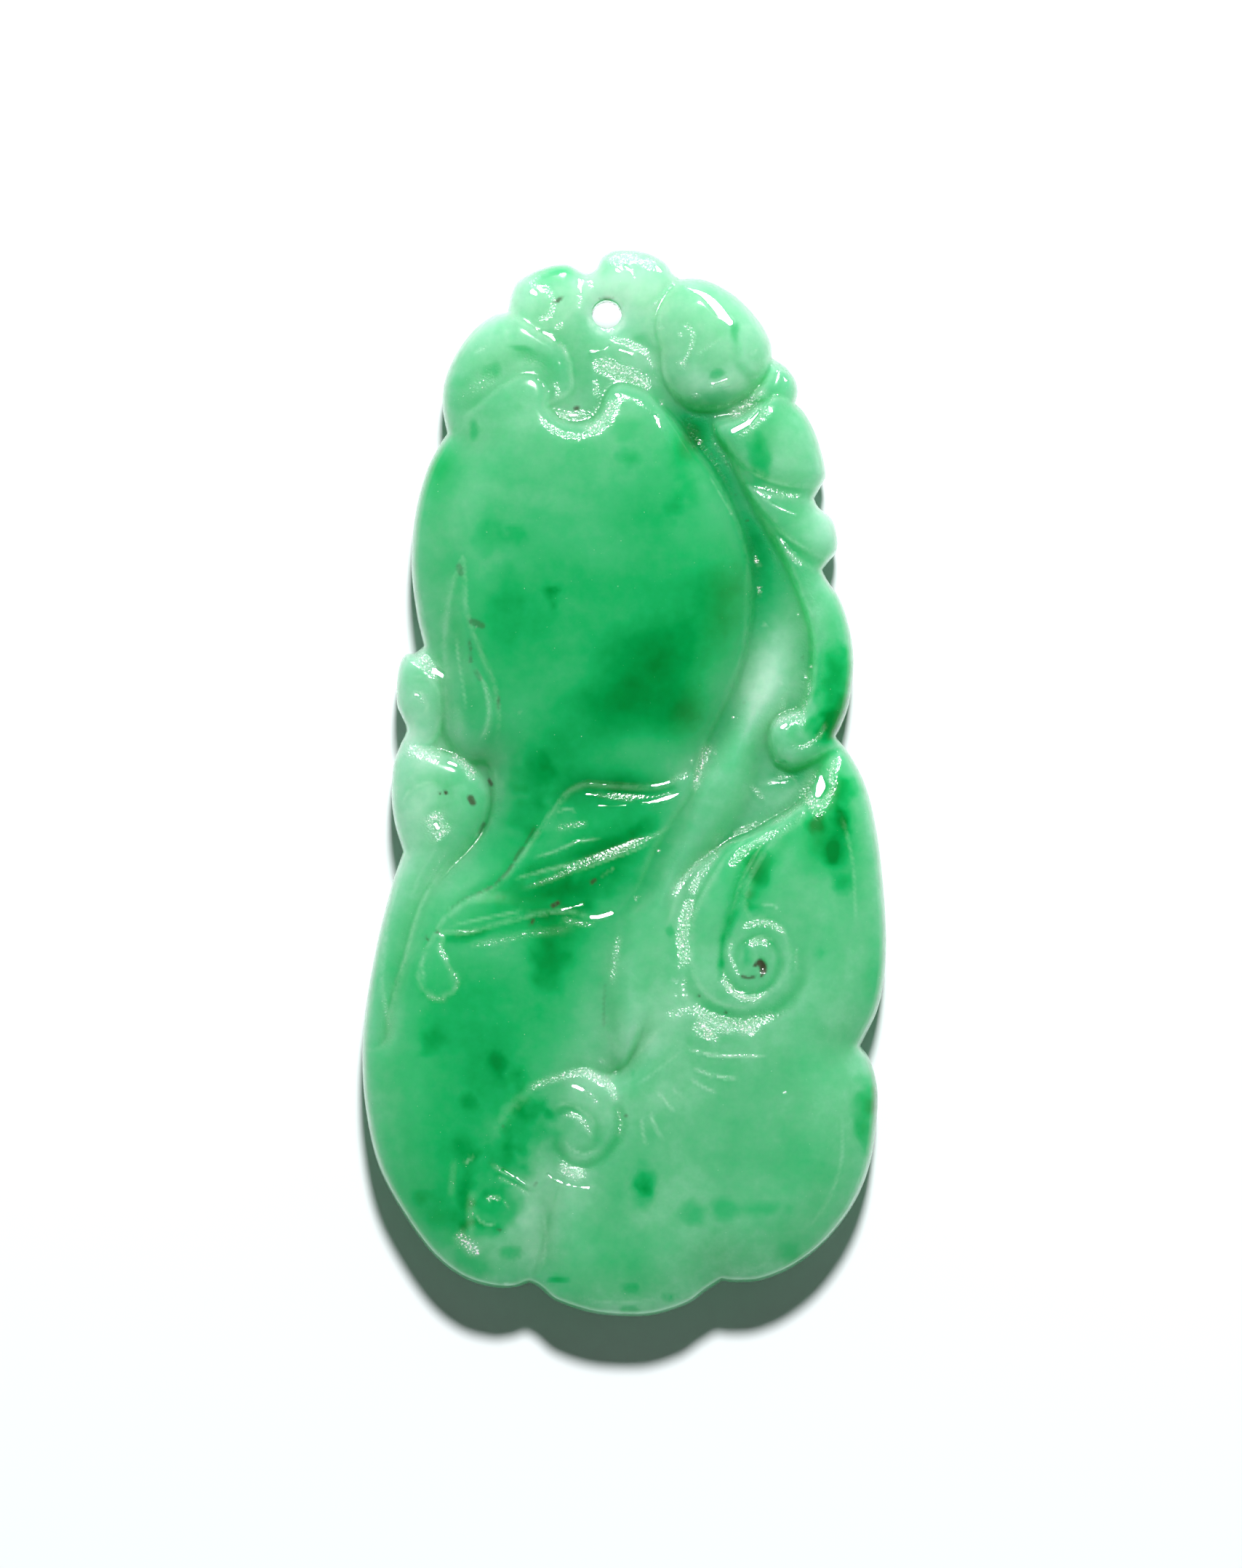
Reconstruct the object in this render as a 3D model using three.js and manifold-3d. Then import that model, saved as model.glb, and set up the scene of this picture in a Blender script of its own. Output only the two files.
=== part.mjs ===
// Carved jadeite pendant: a double gourd with leaves, tendrils and a lingzhi fungus, drilled at the top.
// One piece of stone that lies on its flat back. Millimetres, carved front to +Z, drilled end to +Y.
import * as THREE from 'three'
import { mergeVertices } from 'three/addons/utils/BufferGeometryUtils.js'
import Module from 'manifold-3d'

// Overall sizes
const LENGTH = 50
const THICKNESS = 6
const GROUND = 3.9 // sunk ground between the carved forms
const GROUND_TOP = 4.5 // the same round the drilled hole
const EDGE = 1.8 // height of the silhouette edge above the back
const RIM = 0.5 // how far in the front's edge rolls over
const BROW = 3.9 // height from which the front's edge rolls over
const FALL = 3.2 // how far in the face starts to fall towards the outline
const FALL_TOP = 1.4 // the same at the top and at the right leaf
const BACK_RIM = 1.2 // how far in the back takes to come down to the flat

// Drilled hole for the cord
const HOLE_X = -0.8
const HOLE_Y = 21.95
const HOLE_RADIUS = 0.7

// Spacing of the surface points
const STEP = 0.5
const FIELD = 0.95
const NUDGE = 0.004

// Silhouette, clockwise from the middle scroll, one curve for each form that it passes
const silhouette = {
  middleScroll: [[-1.67, 23.92], [-1.3, 24.15], [-1.05, 24.65], [-0.5, 24.97], [0.2, 25], [1.1, 24.87],
    [1.9, 24.45], [2.3, 23.92], [2.6, 23.67]],
  bud: [[2.6, 23.67], [3.5, 23.68], [4.5, 23.32], [5.5, 22.62], [6.4, 21.6], [6.87, 20.7], [6.95, 19.95]],
  leafTip: [[6.95, 19.95], [7.55, 19.57], [8, 19], [8.16, 18.4], [8.03, 17.83]],
  leafLobeOne: [[8.03, 17.83], [8.45, 17.4], [8.95, 16.5], [9.3, 15.4], [9.47, 14.5], [9.3, 14.05],
    [8.93, 13.35]],
  leafLobeTwo: [[8.93, 13.35], [9.15, 12.93], [9.75, 12.4], [10, 11.6], [9.97, 10.9], [9.6, 10.38],
    [9.32, 10]],
  leafLobeThree: [[9.32, 10], [9.6, 9.45], [10.1, 8.7], [10.5, 7.6], [10.73, 6.4], [10.76, 5.2], [10.55, 3.7],
    [10.2, 2.7], [9.95, 2.2]],
  fungusShoulder: [[9.95, 2.2], [10.75, 1.1], [11.4, -0.3], [11.85, -2.2], [12.15, -4.6], [12.3, -7],
    [12.22, -9], [11.9, -10.6], [11.3, -11.9], [11.1, -12.3]],
  fungusRight: [[11.1, -12.3], [11.55, -13], [11.87, -14.2], [11.87, -15.6], [11.55, -17.8], [10.8, -19.7],
    [9.5, -21.45], [8, -22.65], [6.5, -23.3], [5.3, -23.42], [4.6, -23.35]],
  fungusBottom: [[4.6, -23.35], [3.9, -23.8], [3, -24.42], [1.5, -24.92], [0, -25], [-1.6, -24.83],
    [-3.2, -24.28], [-4, -23.65], [-4.42, -23.42]],
  lowerGourd: [[-4.42, -23.42], [-5, -23.62], [-6, -23.66], [-7.5, -23.22], [-9, -22.05], [-10.5, -19.95],
    [-11.6, -17.7], [-12.15, -15], [-12.27, -12.5], [-12.08, -10.3], [-11.6, -7.6], [-10.95, -5],
    [-10.38, -3.2]],
  sideScrolls: [[-10.38, -3.2], [-10.75, -1.9], [-10.9, -0.6], [-10.82, 0.8], [-10.5, 1.8], [-10.22, 2.5],
    [-10.42, 3.1], [-10.66, 3.8], [-10.6, 5.2], [-10.3, 6], [-9.8, 6.13], [-9.4, 6.45]],
  upperGourd: [[-9.4, 6.45], [-9.72, 7.9], [-9.95, 9.8], [-9.93, 11.4], [-9.7, 13.1], [-9.2, 14.8],
    [-8.6, 15.95], [-8.3, 16.4]],
  curledLeaf: [[-8.3, 16.4], [-8.5, 17.6], [-8.42, 18.8], [-7.9, 20.1], [-7, 21.3], [-6.1, 21.95],
    [-5.45, 22.1]],
  leftScroll: [[-5.45, 22.1], [-5.33, 22.8], [-5, 23.5], [-4.2, 24], [-3.3, 24.3], [-2.6, 24.32],
    [-2.05, 24.02], [-1.67, 23.92]],
}

// Evenly spaced points of a smooth curve through the given ones
function curve(points, closed = false, step = STEP) {
  const path = new THREE.CatmullRomCurve3(
    points.map(([x, y]) => new THREE.Vector3(x, y, 0)),
    closed,
    'catmullrom',
    0.5,
  )
  const count = Math.max(2, Math.round(path.getLength() / step))
  return path.getSpacedPoints(count).map(({ x, y }) => ({ x, y }))
}

// Distance from a place to a line, and how far along the line its nearest point is, from 0 to 1
function nearest(line, x, y) {
  let best = { distance: Infinity, along: 0 }
  for (let i = 0; i + 1 < line.length; i++) {
    const a = line[i]
    const ex = line[i + 1].x - a.x
    const ey = line[i + 1].y - a.y
    const part = THREE.MathUtils.clamp(((x - a.x) * ex + (y - a.y) * ey) / (ex * ex + ey * ey), 0, 1)
    const distance = Math.hypot(x - a.x - part * ex, y - a.y - part * ey)
    if (distance < best.distance) {
      best = { distance, along: (i + part) / (line.length - 1) }
    }
  }
  return best
}

// True inside a closed line
function inside(line, x, y) {
  let odd = false
  for (let i = 0; i + 1 < line.length; i++) {
    const a = line[i]
    const b = line[i + 1]
    if (a.y > y !== b.y > y && x < a.x + ((y - a.y) * (b.x - a.x)) / (b.y - a.y)) {
      odd = !odd
    }
  }
  return odd
}

// Quarter-round rise from 0 to 1
function swell(u) {
  const left = 1 - THREE.MathUtils.clamp(u, 0, 1)
  return Math.sqrt(1 - left * left)
}

// Soft step from 0 to 1
function ease(u) {
  return THREE.MathUtils.smoothstep(u, 0, 1)
}

// Low dome over an ellipse, 1 at its middle
function dome(x, y, cx, cy, rx, ry) {
  return Math.max(0, 1 - ((x - cx) / rx) ** 2 - ((y - cy) / ry) ** 2)
}

const outline = Object.values(silhouette).flatMap((points) => curve(points).slice(0, -1))
const outlineLoop = [...outline, outline[0]]

// The carving, in the order it is laid: later forms stand in front of earlier ones
const carving = []

const none = { width: 0, depth: 0 }
const asFunction = (value) => (typeof value === 'number' ? () => value : value)

// A raised form with a rounded edge; a moat sinks the stone around it. Crown and roll may vary over the form.
function form(edge, crown, roll, moat = none, rise = swell) {
  const line = curve(edge, true)
  carving.push({ kind: 'form', line, crown: asFunction(crown), roll: asFunction(roll), moat, rise })
}

// A raised band that fades out at both ends, or a groove where the height is negative
function ridge(points, width, height) {
  carving.push({ kind: 'ridge', line: curve(points), width, height })
}

function groove(points, width, depth) {
  ridge(points, width, -depth)
}

// Points round a centre: each pair is an angle in degrees and the radius there
function coil(cx, cy, turns) {
  return turns.map(([angle, radius]) => {
    const turn = THREE.MathUtils.degToRad(angle)
    return [cx + radius * Math.cos(turn), cy + radius * Math.sin(turn)]
  })
}

function knob(cx, cy, radius, crown, roll, moat) {
  const turns = [0, 45, 90, 135, 180, 225, 270, 315].map((angle) => [angle, radius])
  form(coil(cx, cy, turns), crown, roll, moat)
}

// Curled leaf, upper left: a hollow with a rolled rim over it
form([[-8.6, 15.8], [-10.5, 18], [-9, 21.5], [-6.5, 23], [-5.2, 22.2], [-4.2, 21.25], [-3.3, 20.75],
  [-2.6, 20.1], [-2.35, 19.2], [-2.5, 18.2], [-4, 17.4], [-6.5, 16.5]], 4.75, 0.7)
groove([[-8, 17.2], [-7.4, 18.2], [-6.5, 19], [-5.5, 19.6], [-4.5, 19.8], [-3.7, 19.4], [-3.3, 18.7],
  [-3.2, 17.9]],
  1.1, 0.3)
ridge([[-7.9, 17.6], [-7.6, 18.6], [-7.1, 19.5], [-6.3, 20.3], [-5.3, 20.8], [-4.3, 20.7], [-3.5, 20.2],
  [-3.05, 19.4], [-2.85, 18.6], [-2.85, 17.8]], 0.6, 0.15)

// Scrolls along the top
form([[-5.45, 22.1], [-6.4, 22.9], [-5.8, 24.4], [-4.3, 25.2], [-2.5, 25.3], [-1.7, 24.2], [-1.6, 23.4],
  [-1.75, 22.6], [-2.3, 22], [-3, 21.45], [-3.9, 21.15], [-4.8, 21.4]], 4.5, 0.9, { width: 0.3, depth: 0.25 })
groove([[-4.9, 23.35], [-4, 23.3], [-3.45, 23], [-3.25, 22.5], [-3.4, 21.95], [-3.8, 21.7],
  [-4.3, 21.65]], 0.4, 0.25)
form([[-1.67, 23.92], [-2.2, 25.6], [0.5, 26.4], [3.2, 25.4], [2.75, 24.1], [2.45, 23.55], [2, 23],
  [1.4, 22.6], [0.5, 22.5], [-0.4, 22.9], [-1.25, 23.2]], 4.5, 1, { width: 0.3, depth: 0.25 })

// Bud, upper right
form([[2.6, 23.67], [3.5, 25.3], [6.5, 24.8], [8.6, 21.8], [7.7, 20.1], [6.93, 19.9], [6.6, 19.1], [5.8, 18.2],
  [4.8, 17.55], [3.6, 17.4], [2.7, 17.75], [2, 18.6], [1.75, 19.4], [1.7, 20.3], [1.5, 21.2], [1.6, 22],
  [2.1, 23]], (x, y) => 4.5 + 0.6 * dome(x, y, 3.9, 20.4, 5, 5.5), 1.2, { width: 0.4, depth: 0.25 })

// Right leaf: a small tip, then three lobes, the last with a curled end
form([[5.9, 18], [6.5, 18.75], [6.9, 19.5], [6.95, 20.1], [7.8, 20.6], [9, 19.5], [8.9, 18.2], [8.03, 17.83],
  [7, 17.9]], 4.2, 0.7)
form([[4.2, 16.9], [5.4, 17.25], [6.4, 17.85], [7.4, 18.3], [10.2, 18], [11.4, 14], [12, 11], [12.6, 6],
  [12, 3], [10, 2.3], [8.6, 2.6], [8.55, 4], [8.75, 5.5], [8.75, 6.8], [8.4, 8.1], [7.9, 9.4], [7.3, 10.7],
  [6.5, 12.1], [5.9, 13.2], [5.3, 14.4], [4.8, 15.5]], 4.3, 0.9)
form([[4.3, 16.6], [5.5, 17.2], [6.3, 17.75], [7.2, 18.1], [8.03, 17.95], [10.2, 17.9], [11, 15], [10.2, 13.9],
  [8.93, 13.75], [8, 13.8], [7, 14.05], [6.3, 14.4], [5.6, 14.75], [5.2, 15.1], [4.7, 15.8]], 4.7, 0.8,
{ width: 0.3, depth: 0.2 })
form([[5.7, 13.9], [6.4, 13.75], [7.3, 13.5], [8.9, 13.25], [11, 13], [11.5, 11], [10.6, 10.35], [9.35, 10.45],
  [8.5, 10.8], [7.6, 11.5], [6.9, 12.2], [6.2, 13]], 4.65, 0.8, { width: 0.3, depth: 0.2 })
form([[7.1, 11.6], [7.9, 10.8], [8.6, 10.3], [9.35, 10], [11.5, 10], [12.6, 6], [12, 3], [10.6, 1.9],
  [9.6, 1.5], [8.9, 1], [8.3, 0.75], [7.8, 0.65], [7.3, 0.85], [6.95, 1.2], [6.8, 1.8], [6.8, 2.4], [7.1, 3],
  [7.7, 3.3], [8.3, 3.5], [8.6, 4.1], [8.75, 5], [8.8, 6.5], [8.55, 7.8], [8.1, 9.1], [7.6, 10.3]], 4.65, 0.8,
{ width: 0.35, depth: 0.25 })
groove([[6.2, 16.2], [6.5, 15.4], [6.4, 14.6]], 0.6, 0.15)
groove([[9.3, 9.2], [9.7, 7.8], [9.85, 6], [9.6, 4.3]], 0.8, 0.15)
groove([[9.6, 3.1], [9.3, 2.5], [8.8, 2.05], [8.2, 1.9], [7.9, 2.3], [8.1, 2.9]], 0.4, 0.25)

// Left side: upper scroll, and lower scroll with its knob
form([[-9, 1.9], [-10.3, 2], [-12, 3], [-12, 6.5], [-9.9, 6.6], [-9.2, 6.1], [-8.5, 5.2], [-8.35, 4.2],
  [-8.45, 3]], 4.3, 0.9)
knob(-9.5, 3.8, 0.85, 4.45, 0.6, { width: 0.25, depth: 0.15 })
form([[-8.6, 1.5], [-9.4, 1.8], [-10.4, 2.4], [-12.2, 1], [-12.6, -3], [-13.4, -8], [-12.8, -12.6],
  [-11.3, -12.4], [-10.7, -10.5], [-10.1, -8.5], [-9.6, -6.6], [-9, -5.1], [-8.1, -3.9], [-7.1, -2.9],
  [-6.6, -2.1], [-6.3, -1.1], [-6.4, -0.1], [-6.9, 0.6], [-7.6, 1.2]], 4.5, 0.9)
groove([[-10.6, -1.6], [-10.3, -0.7], [-9.7, -0.1], [-8.9, 0.1], [-8.3, -0.2], [-8.4, -1]], 0.5, 0.2)
knob(-7.65, -1, 0.85, 4.7, 0.6, { width: 0.25, depth: 0.15 })

// Double gourd: the large upper body, the waist behind the leaf, and the lower body
form([[-14, 16.3], [-8.3, 16.4], [-7.4, 17.25], [-6.3, 18.15], [-5.3, 18.85], [-4.4, 19.1], [-3.8, 18.8],
  [-3.5, 18.2], [-3.55, 17.6], [-3.1, 17.05], [-2.3, 16.8], [-1.5, 16.95], [-1, 17.5], [-0.8, 18.1],
  [-0.3, 18.6], [0.6, 18.45], [1.5, 17.9], [2.5, 16.9], [3.3, 15.8], [4.2, 14.6], [4.95, 13.3], [5.6, 11.6],
  [5.95, 9.9], [6, 8.2], [5.75, 6.4], [5.2, 4.6], [4.5, 2.9], [3.9, 1.7], [3.9, 0.5], [4.2, -1],
  [4, -2.8], [3.4, -4.3], [3, -6], [2.9, -8], [2.9, -10], [2.4, -11.8], [1.2, -13.6], [-0.4, -15], [-2, -16.5],
  [-3, -18.5], [-4, -22], [-4.4, -23.6], [-5, -27], [-16, -27],
  [-16, -12.5], [-11.6, -12.3], [-11, -10.6], [-10.4, -8.6], [-9.9, -6.7], [-9.3, -5.2], [-8.4, -4],
  [-7.2, -2.9], [-6.5, -2.1], [-6.15, -1], [-6.2, 0.3], [-6.5, 0.9], [-7.2, 1], [-7.9, 1.5], [-8.4, 2.4],
  [-8.5, 3.6], [-8.6, 5], [-9.2, 6.1], [-9.8, 6.3], [-14, 6.3]],
(x, y) => 4.65 + 1.35 * dome(x, y, -2, 9.5, 9, 12.5) + 0.5 * dome(x, y, -7, -13, 7, 10),
(x, y) => 0.6 + 2.2 * ease((17 - y) / 6) * ease((x + 10) / 4))
ridge([[-2.95, 19.8], [-2.9, 19], [-2.85, 18.3], [-2.7, 17.8]], 0.5, 0.15)
ridge([[-1.35, 19.8], [-1.35, 19], [-1.4, 18.3], [-1.6, 17.8]], 0.5, 0.15)

// Blade leaf, cut into the left of the upper gourd
form([[-8.4, 3.4], [-8.45, 5], [-8.5, 6.6], [-8.35, 8.2], [-7.95, 9.8], [-7.5, 10.7], [-7.3, 9.6],
  [-7.25, 8.3], [-6.95, 7.2], [-6.55, 6.1], [-6.05, 5], [-5.8, 4], [-5.7, 3], [-5.85, 2], [-6.3, 1],
  [-7, 0.9], [-7.8, 1.5],
  [-8.3, 2.3]], (x, y, z) => z - 0.2 * ease((y - 1) / 3), 0.4, { width: 0.2, depth: 0.1 })
ridge([[-7.5, 9.8], [-7.45, 7.5], [-7.1, 5.6], [-6.5, 4.2], [-6.3, 3.3], [-6.5, 2.4], [-7, 1.7]], 0.5, 0.2)

// Tendril strands that run down onto the lower gourd
ridge([[-8.8, -0.9], [-9.2, -1.8], [-10.1, -3.4], [-10.7, -4.8], [-11.05, -5.9], [-11.3, -8.3], [-11.3, -9.4],
  [-11.15, -11]], 0.6, 0.15)
ridge([[-7.1, -2.6], [-8.5, -4], [-9.3, -5.2], [-9.8, -6.5], [-10.2, -8], [-10.6, -9.2],
  [-10.9, -10.5]], 0.5, 0.2)

// Lingzhi fungus: the fan-shaped cap, its stalk, and the rolled edge with three spirals
form([[14, 3], [9.9, 1.4], [9, 0], [8, -1.1], [6.6, -1.9], [5.4, -2], [4.2, -2.2], [3.2, -3],
  [2.4, -4.4], [1.8, -5.8], [1.4, -7.2], [1.2, -8.8], [1.3, -10.2], [1.2, -11.3], [0.7, -12.3], [0.1, -13.2],
  [-0.7, -13.6], [-1.9, -13.3], [-3.5, -13.85], [-5, -14.6], [-6.1, -16.1], [-6.9, -17.6], [-7.5, -19],
  [-7.7, -20.6], [-7.3, -22.3], [-6.6, -23.6], [-5, -27], [8, -27], [16, -16], [15, -5]],
(x, y, z) => THREE.MathUtils.lerp(4.8 + 0.6 * dome(x, y, 6, -13, 9, 12), z + 0.1, ease((-2.2 - x) / 3)),
1, { width: 0.4, depth: 0.1 })
form([[7, 9.3], [7.8, 8.4], [8.2, 7.2], [8.35, 5.8], [8.2, 4.4], [7.6, 3.4], [6.9, 2.7], [6.55, 1.7],
  [6.4, 0.8], [6.1, -0.6], [5.2, -2.2], [3.9, -3.9], [3.1, -5.6], [2.8, -7.5], [2.8, -9.5], [2.6, -10.8],
  [1.5, -12], [0.2, -13.6], [-0.6, -13.2], [-0.95, -11], [-0.9, -8.5], [-0.4, -6.3], [0.6, -4.9],
  [1.3, -3.3], [2, -1.8], [2.8, 0.2], [3.8, 1.4], [4.9, 3.1], [5.6, 5.2], [6.1, 7.4]],
(x, y) => 4.6 + 0.5 * ease((-3 - y) / 8) - 0.5 * ease((y - 2) / 6), 1.3, none, ease)
groove([[8.6, -1.6], [7.4, -2.7], [6.3, -4.1], [5.8, -5.2], [5.7, -6]], 0.8, 0.25)
groove(coil(5.6, -8.3, [[178, 2.7], [200, 2.75], [225, 2.75], [250, 2.7], [275, 2.65], [300, 2.7], [325, 2.75],
  [350, 2.75], [20, 2.7]]), 0.55, 0.3)
form([[8.4, -1], [7.4, -1.5], [6, -2.3], [4.9, -3.1], [4.1, -4.3], [3.4, -5.6], [3.1, -6.8], [3.05, -8],
  [3.3, -9.2], [4, -10.1], [5, -10.5], [6, -10.4], [7, -9.8], [7.65, -9], [7.85, -8], [7.65, -7.1],
  [7.1, -6.45], [6.4, -6.25], [5.9, -6.1], [5.75, -5.6], [5.85, -4.8], [6.4, -3.7], [7.3, -2.6], [8.4, -1.8]],
(x, y) => 5 + 0.15 * dome(x, y, 6, -8, 5, 5), 0.9, { width: 0.35, depth: 0.15 })
groove([[8.2, -1.6], [6.9, -2.4], [5.7, -4], [5.1, -5.6], [4.6, -7.2], ...coil(6.1, -8.3, [[195, 1.5],
  [232, 1.55], [268, 1.5], [310, 1.25], [5, 1.15], [50, 1.15], [85, 1.1], [130, 1], [180, 0.85],
  [230, 0.75]])], 0.4, 0.35)
groove(coil(-2.1, -16.4, [[160, 1.6], [120, 1.35], [95, 1.15], [50, 0.95], [10, 0.85], [-40, 0.85], [-90, 0.8],
  [-140, 0.7]]), 0.4, 0.3)
groove(coil(-1.95, -16.2, [[185, 1.3], [220, 1.45], [250, 1.6], [275, 1.65], [300, 1.6], [330, 1.6], [0, 1.75],
  [25, 1.9], [50, 2.1]]), 0.45, 0.35)
groove([[-4.3, -19.2], [-5, -18.75], [-5.6, -18.3], [-6.2, -18.2]], 0.35, 0.2)
groove(coil(-6.1, -19.95, [[150, 1.05], [95, 0.9], [58, 0.95], [12, 0.95], [-40, 0.92], [-90, 1], [-140, 0.9],
  [180, 0.8]]), 0.4, 0.25)
groove([[-4.1, -19.1], [-3.7, -20], [-3.55, -21.3], [-3.7, -22.4], [-4.05, -23], [-4.4, -23.6]], 0.5, 0.2)

// Central leaf across the waist, with its valley and rolled upper edge
form([[3.2, 0.5], [2.5, 0.2], [1.5, -0.02], [0.3, -0.05], [-0.8, 0.02], [-1.8, 0.05], [-2.7, -0.35],
  [-3.4, -1.2], [-4.1, -2.2], [-5, -3.5], [-6, -4.6], [-7.4, -5.4], [-8.6, -6.4], [-8.7, -6.95],
  [-7.6, -7.1], [-6.4, -6.85], [-4.6, -6.35], [-2.8, -6.1], [-1.4, -6.4], [-0.3, -6], [0.6, -5], [1.3, -3.4],
  [2.2, -1.8], [3, -0.6]],
(x, y) => 4.7 + 0.3 * dome(x, y, -2, -3, 5, 3), 0.55, { width: 0.35, depth: 0.15 })
groove([[1.4, -2.1], [-0.5, -2.85], [-2.5, -3.5], [-4, -3.95], [-5.3, -4.6]], 0.6, 0.35)
groove([[2.6, -0.1], [1.5, -0.45], [0.2, -0.42], [-1, -0.3]], 0.35, 0.15)
groove([[-8.4, -7.3], [-7, -7.2], [-6, -6.85], [-4.5, -6.5], [-3.2, -6.1]], 0.5, 0.15)

// Hooked end of the leaf, on the lower gourd
form([[-8.8, -6.9], [-9.25, -7.6], [-9.6, -8.4], [-9.7, -9.1], [-9.4, -9.7], [-8.8, -10.1], [-8.3, -10],
  [-7.8, -9.7], [-7.9, -8.9], [-8.2, -8.2], [-8.5, -7.7], [-8.3, -7.2]], (x, y, z) => z + 0.15, 0.5,
{ width: 0.25, depth: 0.1 })

// Height of the carved front above the flat back
function frontHeight(x, y) {
  let z = GROUND + (GROUND_TOP - GROUND) * ease((y - 15.2) / 1.6) * ease((3 - x) / 2)
  for (const { kind, line, crown, roll, moat, rise, width, height } of carving) {
    const { distance, along } = nearest(line, x, y)
    if (kind === 'ridge') {
      const ends = ease(Math.min(along, 1 - along) / 0.15)
      z += height * ends * ease(1 - distance / width)
      continue
    }
    const top = crown?.(x, y, z)
    if (moat.depth > 0) {
      z -= moat.depth * Math.exp(-((distance / moat.width) ** 2))
    }
    if (inside(line, x, y)) {
      z += (top - z) * rise(distance / roll(x, y))
    }
  }
  const rim = nearest(outlineLoop, x, y).distance
  const steep = Math.max(ease((y - 19.5) / 2), ease((y - 14) / 3) * ease((x + 2) / 3))
  const fall = THREE.MathUtils.lerp(FALL, FALL_TOP, steep)
  const face = BROW + (Math.min(z, THICKNESS) - BROW) * Math.sin((Math.PI / 2) * Math.min(rim / fall, 1))
  return EDGE + (face - EDGE) * swell(rim / RIM)
}

function backHeight(x, y) {
  return EDGE * (1 - swell(nearest(outlineLoop, x, y).distance / BACK_RIM))
}

// The line moved sideways, to its right where the distance is positive
function offset(line, distance) {
  return line.map((point, i) => {
    const before = line[Math.max(i - 1, 0)]
    const after = line[Math.min(i + 1, line.length - 1)]
    const length = Math.hypot(after.x - before.x, after.y - before.y)
    return {
      x: point.x + ((after.y - before.y) / length) * distance,
      y: point.y - ((after.x - before.x) / length) * distance,
    }
  })
}

// A set of points inside the outline that keeps its gaps: none is placed nearer to another than it should be
function scatter() {
  const placed = []
  const cells = new Map()
  const cell = (x, y) => `${Math.round(x)},${Math.round(y)}`
  const put = (point) => {
    placed.push(point)
    const key = cell(point.x, point.y)
    cells.set(key, [...(cells.get(key) ?? []), point])
  }
  const clear = ({ x, y }, gap) => {
    for (const dx of [-1, 0, 1]) {
      for (const dy of [-1, 0, 1]) {
        const near = cells.get(cell(x + dx, y + dy)) ?? []
        if (near.some((other) => Math.hypot(other.x - x, other.y - y) < gap)) {
          return false
        }
      }
    }
    return true
  }
  const wobble = (i) => NUDGE * Math.sin(i * 12.9898)
  const add = (points, gap, depth = 0.3) => {
    for (const point of points) {
      const { x, y } = point
      if (inside(outlineLoop, x, y) && nearest(outlineLoop, x, y).distance >= depth && clear(point, gap)) {
        put({ x: x + wobble(placed.length), y: y + wobble(placed.length * 7 + 3) })
      }
    }
  }
  outline.forEach(put)
  return { placed, add }
}

// Even field of points over the whole stone, in staggered rows
const field = []
for (let row = 0; row * FIELD * 0.866 < LENGTH; row++) {
  for (let x = -14 + (row % 2) * FIELD * 0.5; x < 14; x += FIELD) {
    field.push({ x, y: -LENGTH / 2 + row * FIELD * 0.866 })
  }
}

// Front: rings down the rim, then each form's edge, foot and shoulder, the foremost form first, then the field
const front = scatter()
for (const depth of [0.06, 0.2, RIM, 1.1, 1.9]) {
  front.add(offset(outlineLoop, depth), 0.09, depth * 0.97)
}
const covered = (point, layer) =>
  carving.slice(layer + 1).some(
    ({ kind, line }) =>
      kind === 'form' && inside(line, point.x, point.y) && nearest(line, point.x, point.y).distance > 0.15,
  )
const layers = carving.map(({ kind, line, roll, moat, width }, layer) => {
  const inward = THREE.ShapeUtils.area(line) > 0 ? -1 : 1
  const foot = -inward * Math.max(moat?.width, 0.3)
  const reach = roll?.(line[0].x, line[0].y)
  const across = kind === 'form' ? [inward * 0.35 * reach, inward * reach, foot] : [0.8 * width, -0.8 * width]
  const seen = (points) => points.filter((point) => !covered(point, layer))
  return { edge: seen(line), sides: across.map((distance) => seen(offset(line, distance))) }
})
layers.reverse()
layers.forEach(({ edge }) => front.add(edge, 0.24))
layers.forEach(({ sides }) => sides.forEach((side) => front.add(side, 0.24)))
front.add(field, 0.7 * FIELD)

// Back: rings up to the flat, and a sparse field on it
const back = scatter()
for (const depth of [0.1, 0.45, BACK_RIM]) {
  back.add(offset(outlineLoop, depth), 0.09, depth * 0.97)
}
back.add(field.filter((_, i) => i % 9 === 0), 2)

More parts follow.
